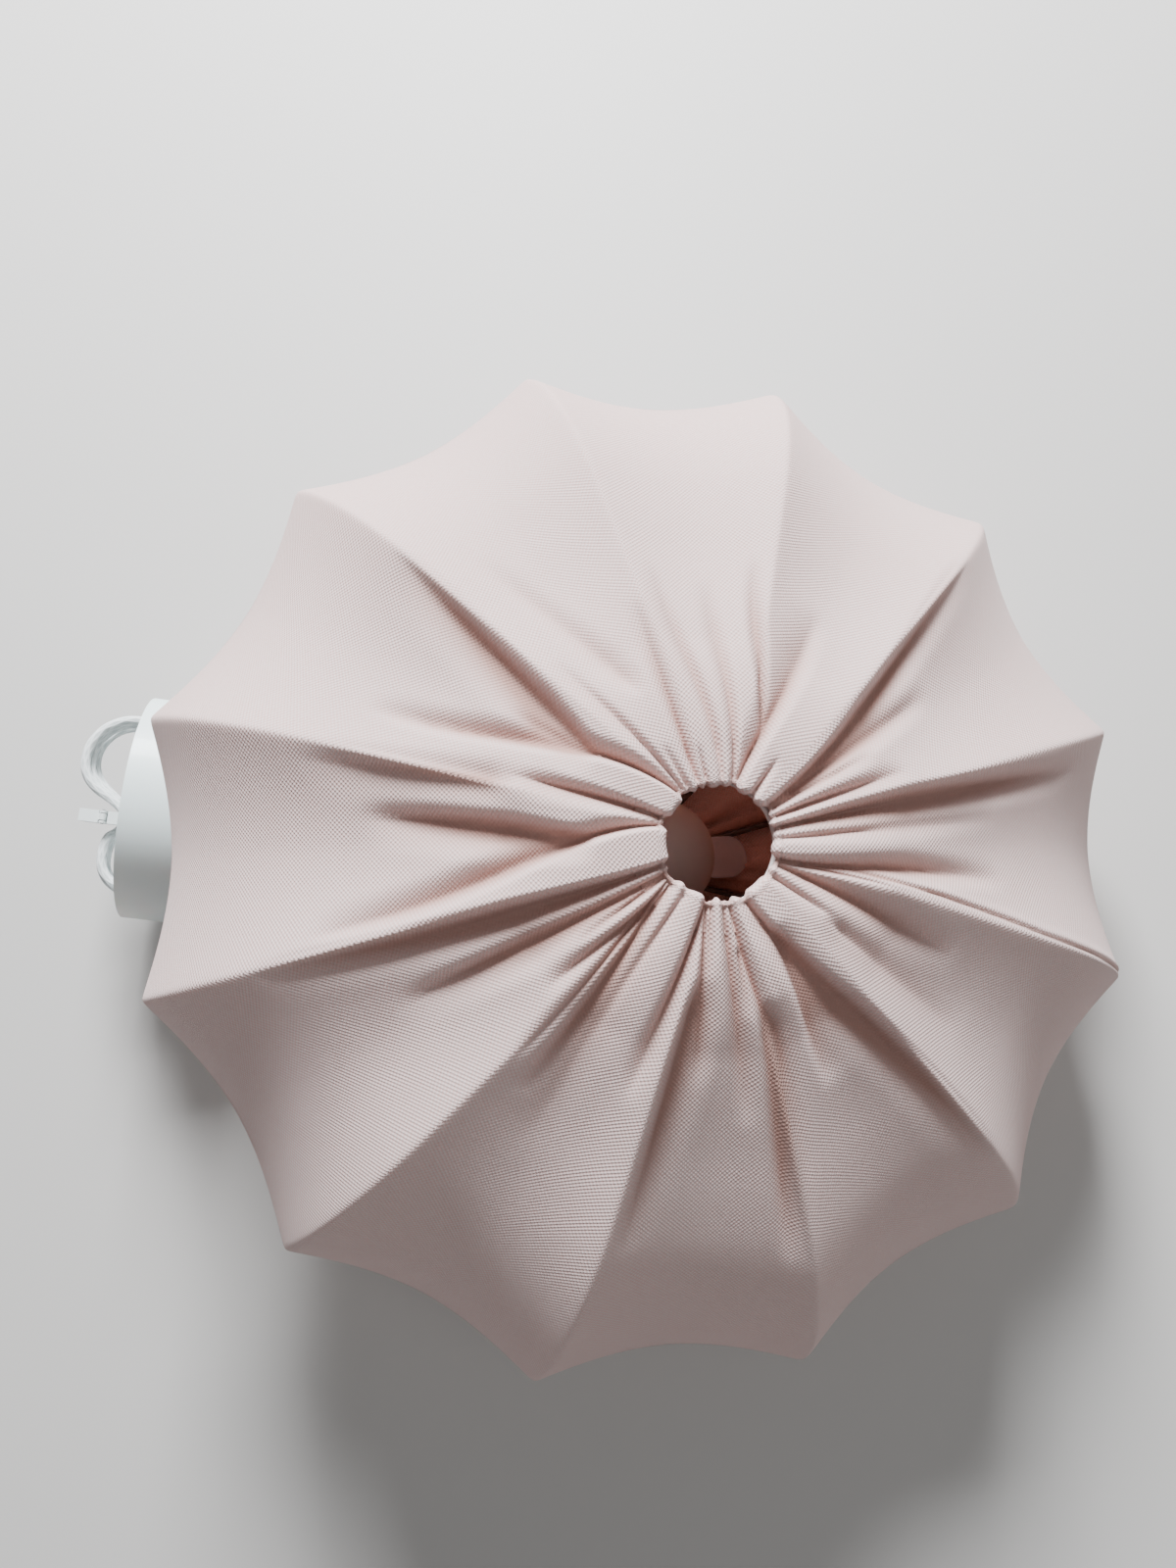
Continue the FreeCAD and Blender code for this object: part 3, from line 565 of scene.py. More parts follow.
@dataclass
class FabricCover:
    """Stretch fabric over the ribs, gathered to a rolled hem at each end."""

    ribs: int = 12
    per_panel: int = 44
    reach: float = 0.25675
    height: float = 0.10375
    opening: float = 0.024
    nose: float = 0.010
    shoulder_angle: float = 20.0
    nose_angle: float = 65.0
    outside: float = 0.00325
    panel_sag: float = 0.0165
    ring: float = 0.045
    wire: float = 0.0035
    rib_round: float = 0.0013
    crowding: float = 0.58
    seam_radii: tuple[float, ...] = (0.054, 0.087, 0.120, 0.152, 0.170, 0.250)
    seam_bearings: tuple[float, ...] = (3.7, 2.9, 2.1, 1.3, 0.8, 0.2)
    seam_depth: float = 0.0014
    seam_width: float = 0.0008
    seam_lip: float = 0.0007
    hem_roll: float = 0.0034
    deepest: float = 0.0098
    pleat_rise: float = 0.0080
    pleat_end: float = 0.150
    flat: tuple[float, float] = (1.30, 0.48)
    lining: float = 0.0010
    floor_gap: float = 0.0002
    rim_ease: float = 0.32
    lift_ease: float = 0.5
    hem_least: float = 0.15
    hem_ease: float = 0.45
    # Fold sinking at which the painted fold shadow is full.
    fold_shadow_full: float = 0.008
    # Share of painted shadow in the seam's groove.
    seam_shadow_tint: float = 0.9
    wire_gap: float = 0.0003
    wire_slope: float = 1.5
    wire_share: float = 0.6
    nose_step: float = 0.0018
    near_steps: tuple[float, float] = (0.0015, 0.0050)
    far_steps: tuple[float, float] = (0.0042, 0.0115)
    far_sizes: tuple[tuple[tuple[float, float], tuple[float, float]], ...] = (
        ((0.15, 0.20), (0.0042, 0.0056)), ((0.11, 0.16), (0.0033, 0.0047)),
        ((0.07, 0.13), (0.0028, 0.0042)))
    seed: int = 11
    light_folds: tuple[Fold, ...] = LIGHT_FOLDS

    def arcs(self) -> list[tuple[float, float, float, float, float]]:
        """Return the outside arcs of a rib line from the opening to the equator.

        Returns:
            Centre radius, centre height, arc radius, first angle and last angle of each.
        """
        turn = [0.0, math.radians(self.shoulder_angle), math.radians(self.nose_angle),
                math.pi / 2]
        s1, c1 = math.sin(turn[1]), math.cos(turn[1])
        s2, c2 = math.sin(turn[2]), math.cos(turn[2])
        across = self.reach - self.opening - self.nose * (1 - s2)
        down = self.height - self.nose * c2
        determinant = s1 * (c1 - c2) - (s2 - s1) * (1 - c1)
        flat = (across * (c1 - c2) - (s2 - s1) * down) / determinant
        shoulder = (s1 * down - (1 - c1) * across) / determinant
        first = (self.opening, self.height - flat)
        second = (first[0] + (flat - shoulder) * s1, first[1] + (flat - shoulder) * c1)
        third = (second[0] + (shoulder - self.nose) * s2, second[1] + (shoulder - self.nose) * c2)
        return [(*first, flat + self.outside, turn[0], turn[1]),
                (*second, shoulder + self.outside, turn[1], turn[2]),
                (*third, self.nose + self.outside, turn[2], turn[3])]

    def face_rows(self, first_step: float, last_step: float) -> list[tuple[float, ...]]:
        """Return rows of the rib line from the hem to the equator.

        Args:
            first_step: spacing at the hem.
            last_step: spacing at the equator.

        Returns:
            Radius, height, normal angle from the axis and distance along, row by row.
        """
        arcs = self.arcs()
        lengths = [arc[2] * (arc[4] - arc[3]) for arc in arcs]
        total = sum(lengths)
        rows = []
        place = self.hem_roll
        while place < total:
            left = place
            for arc, length in zip(arcs, lengths):
                if left <= length:
                    break
                left -= length
            angle = arc[3] + left / arc[2]
            rows.append((arc[0] + arc[2] * math.sin(angle), arc[1] + arc[2] * math.cos(angle),
                         angle, place))
            step = first_step + (last_step - first_step) * min(1.0, place / (0.55 * total))
            near_nose = total - place < lengths[2] * 2.2
            place += self.nose_step if near_nose else step
        rows.append((arcs[2][0] + arcs[2][2], 0.0, math.pi / 2, total))
        return rows

    def hem_rows(self) -> list[tuple[float, ...]]:
        """Return rows of the rolled hem, from its hidden turning to the top of the roll.

        Returns:
            Radius, height, normal angle and distance along, row by row.
        """
        roll = self.hem_roll
        centre = self.opening + roll
        top = self.height + self.outside
        rows = []
        for step in range(4):
            radius = centre + 0.011 * (1 - step / 4)
            rows.append((radius, top - 2 * roll - 0.0004 * (1 - step / 4), math.pi,
                         -math.pi * roll - (radius - centre)))
        for step in range(9):
            angle = math.pi * (1 - step / 9)
            rows.append((centre - roll * math.sin(angle), top - roll + roll * math.cos(angle),
                         -angle, -angle * roll))
        return rows

    def far_folds(self) -> list[Fold]:
        """Return seeded folds for the face at the cord end.

        Returns:
            Three folds for each rib.
        """
        dice = random.Random(self.seed)
        folds = []
        for rib in range(self.ribs):
            base = rib * 360.0 / self.ribs
            side = dice.choice((-1, 1))
            folds.append(Fold(base + side * 3.5, -side * dice.uniform(0, 2.5),
                              *(dice.uniform(*ends) for ends in self.far_sizes[0]),
                              0.0026 if side > 0 else 0.0055, 0.0055 if side > 0 else 0.0026,
                              dice.uniform(1.5, 3.0)))
            folds.append(Fold(base + 15 + dice.uniform(-4, 4), dice.uniform(-8, 8),
                              *(dice.uniform(*ends) for ends in self.far_sizes[1]),
                              dice.uniform(0.002, 0.005), dice.uniform(0.002, 0.005),
                              dice.uniform(1.5, 3.0)))
            folds.append(Fold(base + dice.uniform(6, 10), dice.uniform(-3, 3),
                              *(dice.uniform(*ends) for ends in self.far_sizes[2]),
                              0.0022, 0.0026))
        return folds

    def freedom(self, radius: Array) -> Array:
        """Return 0 where the fabric bears on the ring and 1 where only ribs carry it."""
        return np.clip((radius - self.ring - self.wire) / self.ring, 0.0, 1.0)

    def lift(self, radius: Array) -> Array:
        """Return how far the gathers' crests stand above the fabric's resting level."""
        share = np.clip((self.pleat_end - radius) / (self.pleat_end - 0.045), 0.0, 1.0)
        return self.pleat_rise * share * share * (3 - 2 * share)

    def seam(self, bearing: Array, radius: Array) -> tuple[Array, Array]:
        """Work out the sewn seam that joins the fabric's two ends beside the first rib.

        Args:
            bearing: degrees round the axis at every point.
            radius: distance from the axis at every point.

        Returns:
            The stitched groove and the raised edge beside it, each from 0 to 1.
        """
        path = np.interp(radius, self.seam_radii, self.seam_bearings)
        across = across_path(bearing, path, radius)
        present = np.clip((radius - self.seam_radii[0]) / 0.02, 0.0, 1.0)
        groove = np.exp(-(across / self.seam_width) ** 2) * present
        lip = np.exp(-((across - 3.2 * self.seam_width) / (2 * self.seam_width)) ** 2) * present
        return groove, lip

    def wire_room(self, from_rib: Array, radius: Array) -> Array:
        """Return how far the fabric may sink before it meets a rib or the ring.

        Args:
            from_rib: distance from the nearest rib.
            radius: distance from the axis.

        Returns:
            Depths in metres below the fabric's resting level.
        """
        clear = self.wire / 2 * self.wire_share
        rib, ring = (self.wire_gap + self.wire_slope * np.maximum(off - clear, 0.0)
                     for off in (from_rib, np.abs(radius - self.ring)))
        rib = np.where(radius > self.ring - self.wire, rib, self.deepest)
        return np.minimum(rib, ring)

    @staticmethod
    def deepened(inward: Array) -> Array:
        """Return the largest of each point and its neighbours, so no valley is cut through.

        Args:
            inward: depth of every point, by row and column.

        Returns:
            The depths, none less than a neighbour's.
        """
        deepest = inward
        for shift in (-1, 1):
            deepest = np.maximum(deepest, np.roll(inward, shift, 1))
        above = np.vstack([deepest[:1], deepest[:-1]])
        below = np.vstack([deepest[1:], deepest[-1:]])
        return np.maximum(deepest, np.maximum(above, below))

    def surface(self, face: Face, rows: Array, turns: Array,
                inside: bool = False) -> tuple[Array, Array]:
        """Work out the fabric's points on one face.

        Args:
            face: which gathered face.
            rows: radius, height, normal angle and distance of each row.
            turns: bearings in degrees.
            inside: whether these are the points of the inner side of the fabric.

        Returns:
            Points in the shade's frame, and how far each sinks into the folds and the seam's
            groove from 0 to 1, the share of painted shadow there.
        """
        radius, height, normal = (rows[:, column][:, None] for column in range(3))
        bearing = turns[None, :] + 0 * radius
        pitch = 360.0 / self.ribs
        off_rib = np.abs((bearing + pitch / 2) % pitch - pitch / 2)
        half = np.radians(pitch / 2)
        reach = radius * half
        from_rib = np.radians(off_rib) * radius
        soft = np.sqrt(from_rib ** 2 + self.rib_round ** 2) - self.rib_round
        share = np.clip(1 - soft / np.maximum(reach, 1e-6), 0.0, 1.0)
        free = self.freedom(radius)
        chord = 1 - free * (1 - math.cos(half) / np.cos(share * half))
        slack = self.panel_sag * (1 - self.rim_ease * np.clip(np.sin(normal), 0.0, 1.0))
        sag = free * slack * radius / (self.reach + self.outside) * (1 - share ** 2)
        folds = self.light_folds if face is Face.LIGHT else self.far_folds()
        total = sum(fold.sink(bearing, np.maximum(radius, self.opening)) for fold in folds)
        lift = self.lift(radius)
        limit = np.minimum(self.deepest, lift + self.wire_room(from_rib, radius))
        sunk = limit * (1 - np.exp(-total / np.maximum(limit, 1e-5)))
        hidden = np.clip((np.pi - np.abs(np.minimum(normal, 0.0))) / (np.pi / 2),
                         self.hem_least, 1.0)
        hidden = hidden * (1 - self.hem_ease * np.sin(np.clip(-normal, 0.0, np.pi)))
        hidden = np.where(normal > np.pi * 0.9, self.hem_least, hidden)
        sunk = sunk * hidden
        groove, lip = self.seam(bearing, radius)
        sunk = sunk + (self.seam_depth * groove - self.seam_lip * lip)
        inward = sag * np.clip(1 - lift / self.pleat_rise * self.lift_ease, 0.0, 1.0) + sunk
        if inside:
            inward = self.deepened(inward) + self.lining * np.where(normal > 0, 1.0, -1.0)
        out = radius * chord - inward * np.sin(normal)
        up = height - inward * np.cos(normal) + lift
        angle = np.radians(bearing)
        points = np.stack([out * np.cos(angle), out * np.sin(angle), up * face.value], -1)
        # The second result is the share of painted shadow, fuller in sunk folds and in the seam's
        # groove.
        return points, np.clip(total / self.fold_shadow_full + self.seam_shadow_tint * groove, 0.0, 1.0)

    def build(self) -> Piece:
        """Build the cover's mesh with its weave coordinates and dress it.

        Returns:
            The fabric object.
        """
        count = self.ribs * self.per_panel
        even = np.arange(count) * 360.0 / count
        pitch = 360.0 / self.ribs
        turns = even - self.crowding * pitch / (2 * math.pi) * np.sin(2 * math.pi * even / pitch)
        near = np.array(self.hem_rows() + self.face_rows(*self.near_steps))
        far = np.array(self.hem_rows() + self.face_rows(*self.far_steps))[:-1]
        grids = []
        for inside in (False, True):
            near_points, near_fold_shadow = self.surface(Face.LIGHT, near, turns, inside)
            far_points, far_fold_shadow = self.surface(Face.CORD, far, turns, inside)
            grids.append((np.concatenate([near_points, far_points[::-1]]),
                          np.concatenate([near_fold_shadow, far_fold_shadow[::-1]])))
        total = near[-1, 3]
        along = np.concatenate([near[:, 3], 2 * total - far[::-1, 3]])
        span = np.concatenate([near[:, 0], far[::-1, 0]])
        cover = self.mesh(grids, along, span, turns)
        cover.data.materials.append(ShadeFabric().make())
        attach(cover, BODY)
        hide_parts("fabric_cover")
        return cover

    def mesh(self, grids: list[tuple[Array, Array]], along: Array,
             span: Array, turns: Array) -> Piece:
        """Join the outer and inner grids, which close round the axis, into a mesh object.

        Args:
            grids: points in the shade's frame and shares of painted fold shadow, outer side then
                inner.
            along: distance down the fabric of each row.
            span: rib radius of each row.
            turns: bearing of each column in degrees.

        Returns:
            The mesh object.
        """
        rows, columns = grids[0][0].shape[:2]
        first = rows * columns
        kept = np.unique(np.append(np.arange(0, rows, 2), rows - 1))
        inner_points = grids[1][0][kept][:, ::2]
        inner_fold_shadow = grids[1][1][kept][:, ::2]
        points = np.concatenate([grids[0][0].reshape(-1, 3), inner_points.reshape(-1, 3)])
        fold_shadow_share = np.concatenate([grids[0][1].reshape(-1), inner_fold_shadow.reshape(-1)])
        turn = np.array(SHADE.to_3x3())
        points = points @ turn.T + np.array(SHADE.translation)
        points[:first, 2] = np.maximum(points[:first, 2], self.floor_gap)
        points[first:, 2] = np.maximum(points[first:, 2], self.lining)
        outer = self.quads(rows, columns, 0, False)
        half = columns // 2
        inner = self.quads(len(kept), half, first, True)
        rims = []
        for outer_start, inner_start, flip in ((0, first, True),
                                               ((rows - 1) * columns,
                                                first + (len(kept) - 1) * half, False)):
            for column in range(half):
                left = outer_start + 2 * column
                right = outer_start + (2 * column + 2) % columns
                loop = [left, left + 1, right, inner_start + (column + 1) % half,
                        inner_start + column]
                rims.append(loop[::-1] if flip else loop)
        mesh = smooth_mesh("fabric_cover_cloth", points.tolist(),
                           outer.tolist() + inner.tolist() + rims)
        # The painted fold shadow's share rides on the points as an attribute.
        painted_fold_shadow = mesh.attributes.new("fold_shadow_share", "FLOAT", "POINT")
        painted_fold_shadow.data.foreach_set("value", fold_shadow_share.astype(np.float32))
        layer = mesh.uv_layers.new(name="weave")
        inner_places = self.weave_places(along[kept], span[kept], turns[::2])[:, :, ::-1]
        places = np.concatenate([self.weave_places(along, span, turns).reshape(-1, 2),
                                 inner_places.reshape(-1, 2), np.zeros((5 * len(rims), 2))])
        layer.data.foreach_set("uv", places.reshape(-1).astype(np.float32))
        mesh.update()
        return placed("fabric_cover_cloth", mesh)

    @staticmethod
    def quads(rows: int, columns: int, first: int, flip: bool) -> Array:
        """Return the faces of a grid that closes round the axis.

        Args:
            rows: rows of points.
            columns: points in a row.
            first: index of the grid's first point.
            flip: whether the faces look inwards.

        Returns:
            Four point indices for each face.
        """
        row, column = np.meshgrid(np.arange(rows - 1), np.arange(columns), indexing="ij")
        after = (column + 1) % columns
        corners = [row * columns + column, (row + 1) * columns + column,
                   (row + 1) * columns + after, row * columns + after]
        faces = np.stack(corners, -1).reshape(-1, 4) + first
        return faces[:, ::-1] if flip else faces

    def weave_places(self, along: Array, span: Array,
                     turns: Array) -> Array:
        """Return the weave's coordinates in metres at the corners of a grid's faces.

        Args:
            along: distance down the fabric of each row.
            span: rib radius of each row.
            turns: bearing of each column in degrees.

        Returns:
            Coordinates by row, column and corner.
        """
        pitch = 360.0 / self.ribs
        middle = (np.floor(turns / pitch) + 0.5) * pitch
        ahead = np.append(turns[1:], turns[0] + 360.0)
        rows = len(along)
        corners = np.zeros((rows - 1, len(turns), 4, 2))
        for corner, (step, shift) in enumerate(((0, 0), (1, 0), (1, 1), (0, 1))):
            here = ahead if shift else turns
            lift = slice(step, rows - 1 + step)
            corners[:, :, corner, 0] = np.radians(here - middle)[None, :] * span[lift][:, None]
            corners[:, :, corner, 1] = along[lift][:, None]
        return corners


# ---- Cord ----
@dataclass
class PendantCord:
    """Braided cord from the lamp holder along the floor, through the cup and wound up."""

    diameter: float = 0.0055
    length: float = 1.4
    route: tuple[Triple, ...] = (
        (-0.0240, 0.0, 0.0173), (-0.0261, 0.0, 0.0080), (-0.0335, -0.0006, 0.0036),
        (-0.0500, -0.0015, 0.00295), (-0.0780, -0.0080, 0.00295),
        (-0.1060, -0.0150, 0.00295), (-0.1340, -0.0195, 0.0050),
        (-0.1600, -0.0220, 0.0170), (-0.1830, -0.0242, 0.0335),
        (-0.2146, -0.0267, 0.0514), (-0.2375, -0.0299, 0.0577))
    lead_in: tuple[Triple, ...] = (
        (0.0, 0.0, 0.010), (0.0, -0.004, 0.026), (0.006, -0.012, 0.040))
    tail: tuple[Triple, ...] = (
        (0.001, 0.0035, 0.0335), (0.0, 0.008, 0.0300), (0.0, 0.014, 0.0285),
        (0.0, 0.0195, 0.0262), (0.0, 0.0205, 0.0225))
    large_lobe: Triple = (-0.024, 0.060, 0.0272)
    small_lobe: Triple = (0.030, 0.050, 0.0215)
    waist: Triple = (0.009, 0.054, 0.0048)
    crossings: tuple[tuple[Triple, ...], ...] = (
        ((-0.008, 1.5, 0.1), (0.0, 1.0, 0.2), (0.007, 1.5, 0.25)),
        ((0.007, -1.5, 0.6), (0.0, -1.0, 0.75), (-0.008, -1.5, 0.9)))
    turns: int = 4
    lowest: float = -0.0168
    rise: float = 0.0058
    sides: int = 14

    def winding(self) -> list[Vector]:
        """Return the corners of the hank's turns in the cup's frame.

        Returns:
            The corners, turn after turn.
        """
        dice = random.Random(5)
        corners = []
        for turn in range(self.turns):
            level = self.lowest + self.rise * turn
            loose = 1 - 0.055 * ((turn * 2) % 3) - 0.02 * dice.random()
            shift = 0.0012 * dice.uniform(-1, 1)
            x, z, radius = self.large_lobe
            across, middle, gap = self.waist
            for step in range(7):
                angle = math.radians(-60 - 240 * step / 6)
                reach = radius * loose
                fan = 0.0012 * math.sin(math.pi * step / 6) * (-1) ** turn
                corners.append(Vector((x + shift - (1 - loose) * 0.02 + reach * math.cos(angle),
                                       level + fan, z + reach * math.sin(angle))))
            corners += [Vector((across + off, level + self.rise * lift, middle + gap * side))
                        for off, side, lift in self.crossings[0]]
            x, z, radius = self.small_lobe
            for step in range(5):
                angle = math.radians(120 - 240 * step / 4)
                reach = radius * (1 - 0.05 * (turn % 2))
                corners.append(Vector((x + reach * math.cos(angle), level + self.rise * 0.4,
                                       z + reach * math.sin(angle))))
            corners += [Vector((across + off, level + self.rise * lift, middle + gap * side))
                        for off, side, lift in self.crossings[1]]
        return corners

    def path(self) -> list[Vector]:
        """Return points along the cord's one smooth curve, evenly close together.

        Returns:
            The points from the lamp holder to the tail.
        """
        local = [Vector(point) for point in self.lead_in] + self.winding()
        local += [Vector(point) for point in self.tail]
        corners = [Vector(point) for point in self.route] + [CUP @ point for point in local]
        curve = bpy.data.curves.new("cord_route", "CURVE")
        curve.dimensions = "3D"
        curve.resolution_u = 24
        spline = curve.splines.new("NURBS")
        spline.points.add(len(corners) - 1)
        for point, corner in zip(spline.points, corners):
            point.co = (*corner, 1.0)
        spline.order_u = 3
        spline.use_endpoint_u = True
        guide = placed("cord_route", curve)
        line = bpy.data.meshes.new_from_object(guide)
        points = [vertex.co.copy() for vertex in line.vertices]
        bpy.data.objects.remove(guide)
        bpy.data.curves.remove(curve)
        bpy.data.meshes.remove(line)
        return points

    def build(self) -> Piece:
        """Returns:
            The cord object.
        """
        path = self.path()
        radius = self.diameter / 2
        rings = []
        places = []
        travelled = 0.0
        side = Vector((0.0, 1.0, 0.0))
        for index, point in enumerate(path):
            before = path[max(index - 1, 0)]
            after = path[min(index + 1, len(path) - 1)]
            heading = (after - before).normalized()
            side = (side - heading * side.dot(heading)).normalized()
            other = heading.cross(side)
            if index:
                travelled += (point - path[index - 1]).length
            places.append(travelled)
            rings.append([point + radius * (side * math.cos(2 * math.pi * step / self.sides)
                                            + other * math.sin(2 * math.pi * step / self.sides))
                          for step in range(self.sides)])
        cord = ring_mesh("pendant_cord", rings, places, capped=True)
        cord.data.materials.append(BraidedTextile().make())
        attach(cord, BODY)
        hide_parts("cord", "cord_hank", "cord_tail")
        LOG.info("cord measures %.3f m", travelled)
        return cord


def ring_mesh(name: str, rings: list[list[Vector]], places: list[float],
              capped: bool = False, closed: bool = False) -> Piece:
    """Skin a row of rings.

    Args:
        name: the object's name.
        rings: rings of points, all with the same number of points.
        places: distance along of every ring, for the finish's coordinates.
        capped: whether the end rings are filled.
        closed: whether the last ring joins the first.

    Returns:
        The mesh object, smooth, with a coordinate layer named weave.
    """
    count = len(rings[0])
    faces = []
    corners = []
    last = len(rings) if closed else len(rings) - 1
    for row in range(last):
        ahead = (row + 1) % len(rings)
        far = places[row] + (places[1] - places[0]) if ahead == 0 else places[ahead]
        for step in range(count):
            after = (step + 1) % count
            faces.append((row * count + step, row * count + after, ahead * count + after,
                          ahead * count + step))
            corners += [(places[row], step / count), (places[row], (step + 1) / count),
                        (far, (step + 1) / count), (far, step / count)]
    if capped:
        faces.append(tuple(reversed(range(count))))
        faces.append(tuple((len(rings) - 1) * count + step for step in range(count)))
        corners += [(0.0, 0.0)] * (2 * count)
    mesh = smooth_mesh(name, [tuple(point) for ring in rings for point in ring], faces)
    layer = mesh.uv_layers.new(name="weave")
    layer.data.foreach_set("uv", [value for corner in corners for value in corner])
    mesh.update()
    return placed(name, mesh)


@dataclass
class HankStrap:
    """Ribbed strap that pinches the hank's waist."""

    centre: Triple = (0.009, -0.008, 0.054)
    height: float = 0.024
    breadth: float = 0.016
    width: float = 0.006
    thickness: float = 0.0018
    corner: float = 0.003
    teeth: int = 150
    tooth: float = 0.00022
    play: float = 0.0001
    edge_round: float = 0.0005
    edge_drop: float = 0.0004

    def build(self) -> Piece:
        """Build the strap as a closed band with fine cross ribs and dress it.

        Returns:
            The strap object.
        """
        centre = Vector(self.centre)
        outline = []
        half_high = self.height / 2 - self.corner
        half_broad = self.breadth / 2 - self.corner
        run = 2 * math.pi / self.teeth
        for step in range(self.teeth):
            angle = step * run
            up, out = math.sin(angle), math.cos(angle)
            corner = Vector((0.0, math.copysign(half_high, up) if abs(up) > 1e-6 else 0.0,
                             math.copysign(half_broad, out) if abs(out) > 1e-6 else 0.0))
            outline.append((centre + corner, Vector((0.0, up, out))))
        rings = []
        places = []
        travelled = 0.0
        for step, (point, outward) in enumerate(outline):
            tooth = self.tooth * (step % 2)
            inner = point + outward * (self.corner + self.play)
            outer = point + outward * (self.corner + self.thickness - tooth)
            edge = Vector((self.width / 2, 0.0, 0.0))
            soft = Vector((self.edge_round, 0.0, 0.0))
            low = outward * self.edge_drop
            ring = [inner - edge, outer - edge - low, outer - edge + soft, outer + edge - soft,
                    outer + edge - low, inner + edge]
            rings.append([CUP @ corner for corner in ring])
            if step:
                travelled += (point + outward * self.corner - outline[step - 1][0]
                              - outline[step - 1][1] * self.corner).length
            places.append(travelled)
        strap = ring_mesh("hank_strap", rings, places, closed=True)
        strap.data.materials.append(Moulded("tie_plastic", (0.82, 0.86, 0.85), 0.45,
                                            0.00002, 1400.0, soil=0.04, glow=0.05).make())
        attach(strap, BODY)
        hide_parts("hank_tie")
        return strap


# ---- Care label ----
@dataclass
class CareLabel:
    """Soft woven label with a rounded end and a sewn edge, standing inside the shade."""

    length: float = 0.034
    width: float = 0.025
    thickness: float = 0.0006
    rows: int = 48
    columns: int = 24
    bearing: float = 19.0
    curl: float = 0.0022
    ripple: float = 0.0009
    hem: float = 0.00012
    slope: float = 0.25

    def build(self) -> Piece:
        """Build the label as a curled sheet with a raised hem and dress it.

        Returns:
            The label object.
        """
        low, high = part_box("care_label")
        middle = (low + high) / 2
        axis = SHADE.to_3x3() @ Vector((0.0, 0.0, 1.0))
        bearing = math.radians(self.bearing)
        outward = SHADE.to_3x3() @ Vector((math.cos(bearing), math.sin(bearing), 0.0))
        sideways = axis.cross(outward)
        points = []
        for layer in (1, -1):
            for row in range(self.rows + 1):
                share = row / self.rows
                along = (share - 0.5) * self.length
                bend = max(0.0, abs(along) - (self.length - self.width) / 2)
                rounding = math.sqrt(max(0.0, 1 - (2 * bend / self.width) ** 2 * 0.985))
                for column in range(self.columns + 1):
                    across = (column / self.columns - 0.5) * self.width * rounding
                    rise = (self.curl * math.cos(math.pi * (share - 0.3) * 1.3)
                            + self.ripple * math.sin(across * 260 + share * 3))
                    hem = self.hem if abs(column / self.columns - 0.5) > 0.42 else 0.0
                    lift = rise + layer * (self.thickness / 2 + hem)
                    points.append(middle + outward * along + sideways * across
                                  + axis * (lift - self.slope * along))
        faces = []
        stride = self.columns + 1
        total = (self.rows + 1) * stride
        for row in range(self.rows):
            for column in range(self.columns):
                start = row * stride + column
                face = [start, start + stride, start + stride + 1, start + 1]
                faces.append(face)
                faces.append([index + total for index in reversed(face)])
        border = list(range(self.columns))
        border += [row * stride + self.columns for row in range(self.rows)]
        border += [self.rows * stride + column for column in range(self.columns, 0, -1)]
        border += [row * stride for row in range(self.rows, 0, -1)]
        for here, ahead in zip(border, border[1:] + border[:1]):
            faces.append([here, ahead, ahead + total, here + total])
        mesh = smooth_mesh("care_label_cloth", [tuple(point) for point in points], faces)
        mesh.update()
        label = placed("care_label_cloth", mesh)
        # Label, tinted blue-grey: painted cool daylight that falls on it through the opening,
        # against the shade's pink light.
        mesh.materials.append(Moulded("label_fabric", (0.66, 0.70, 0.78), 0.7, 0.00006,
                                      1500.0, soil=0.03).make())
        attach(label, BODY)
        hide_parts("care_label")
        return label


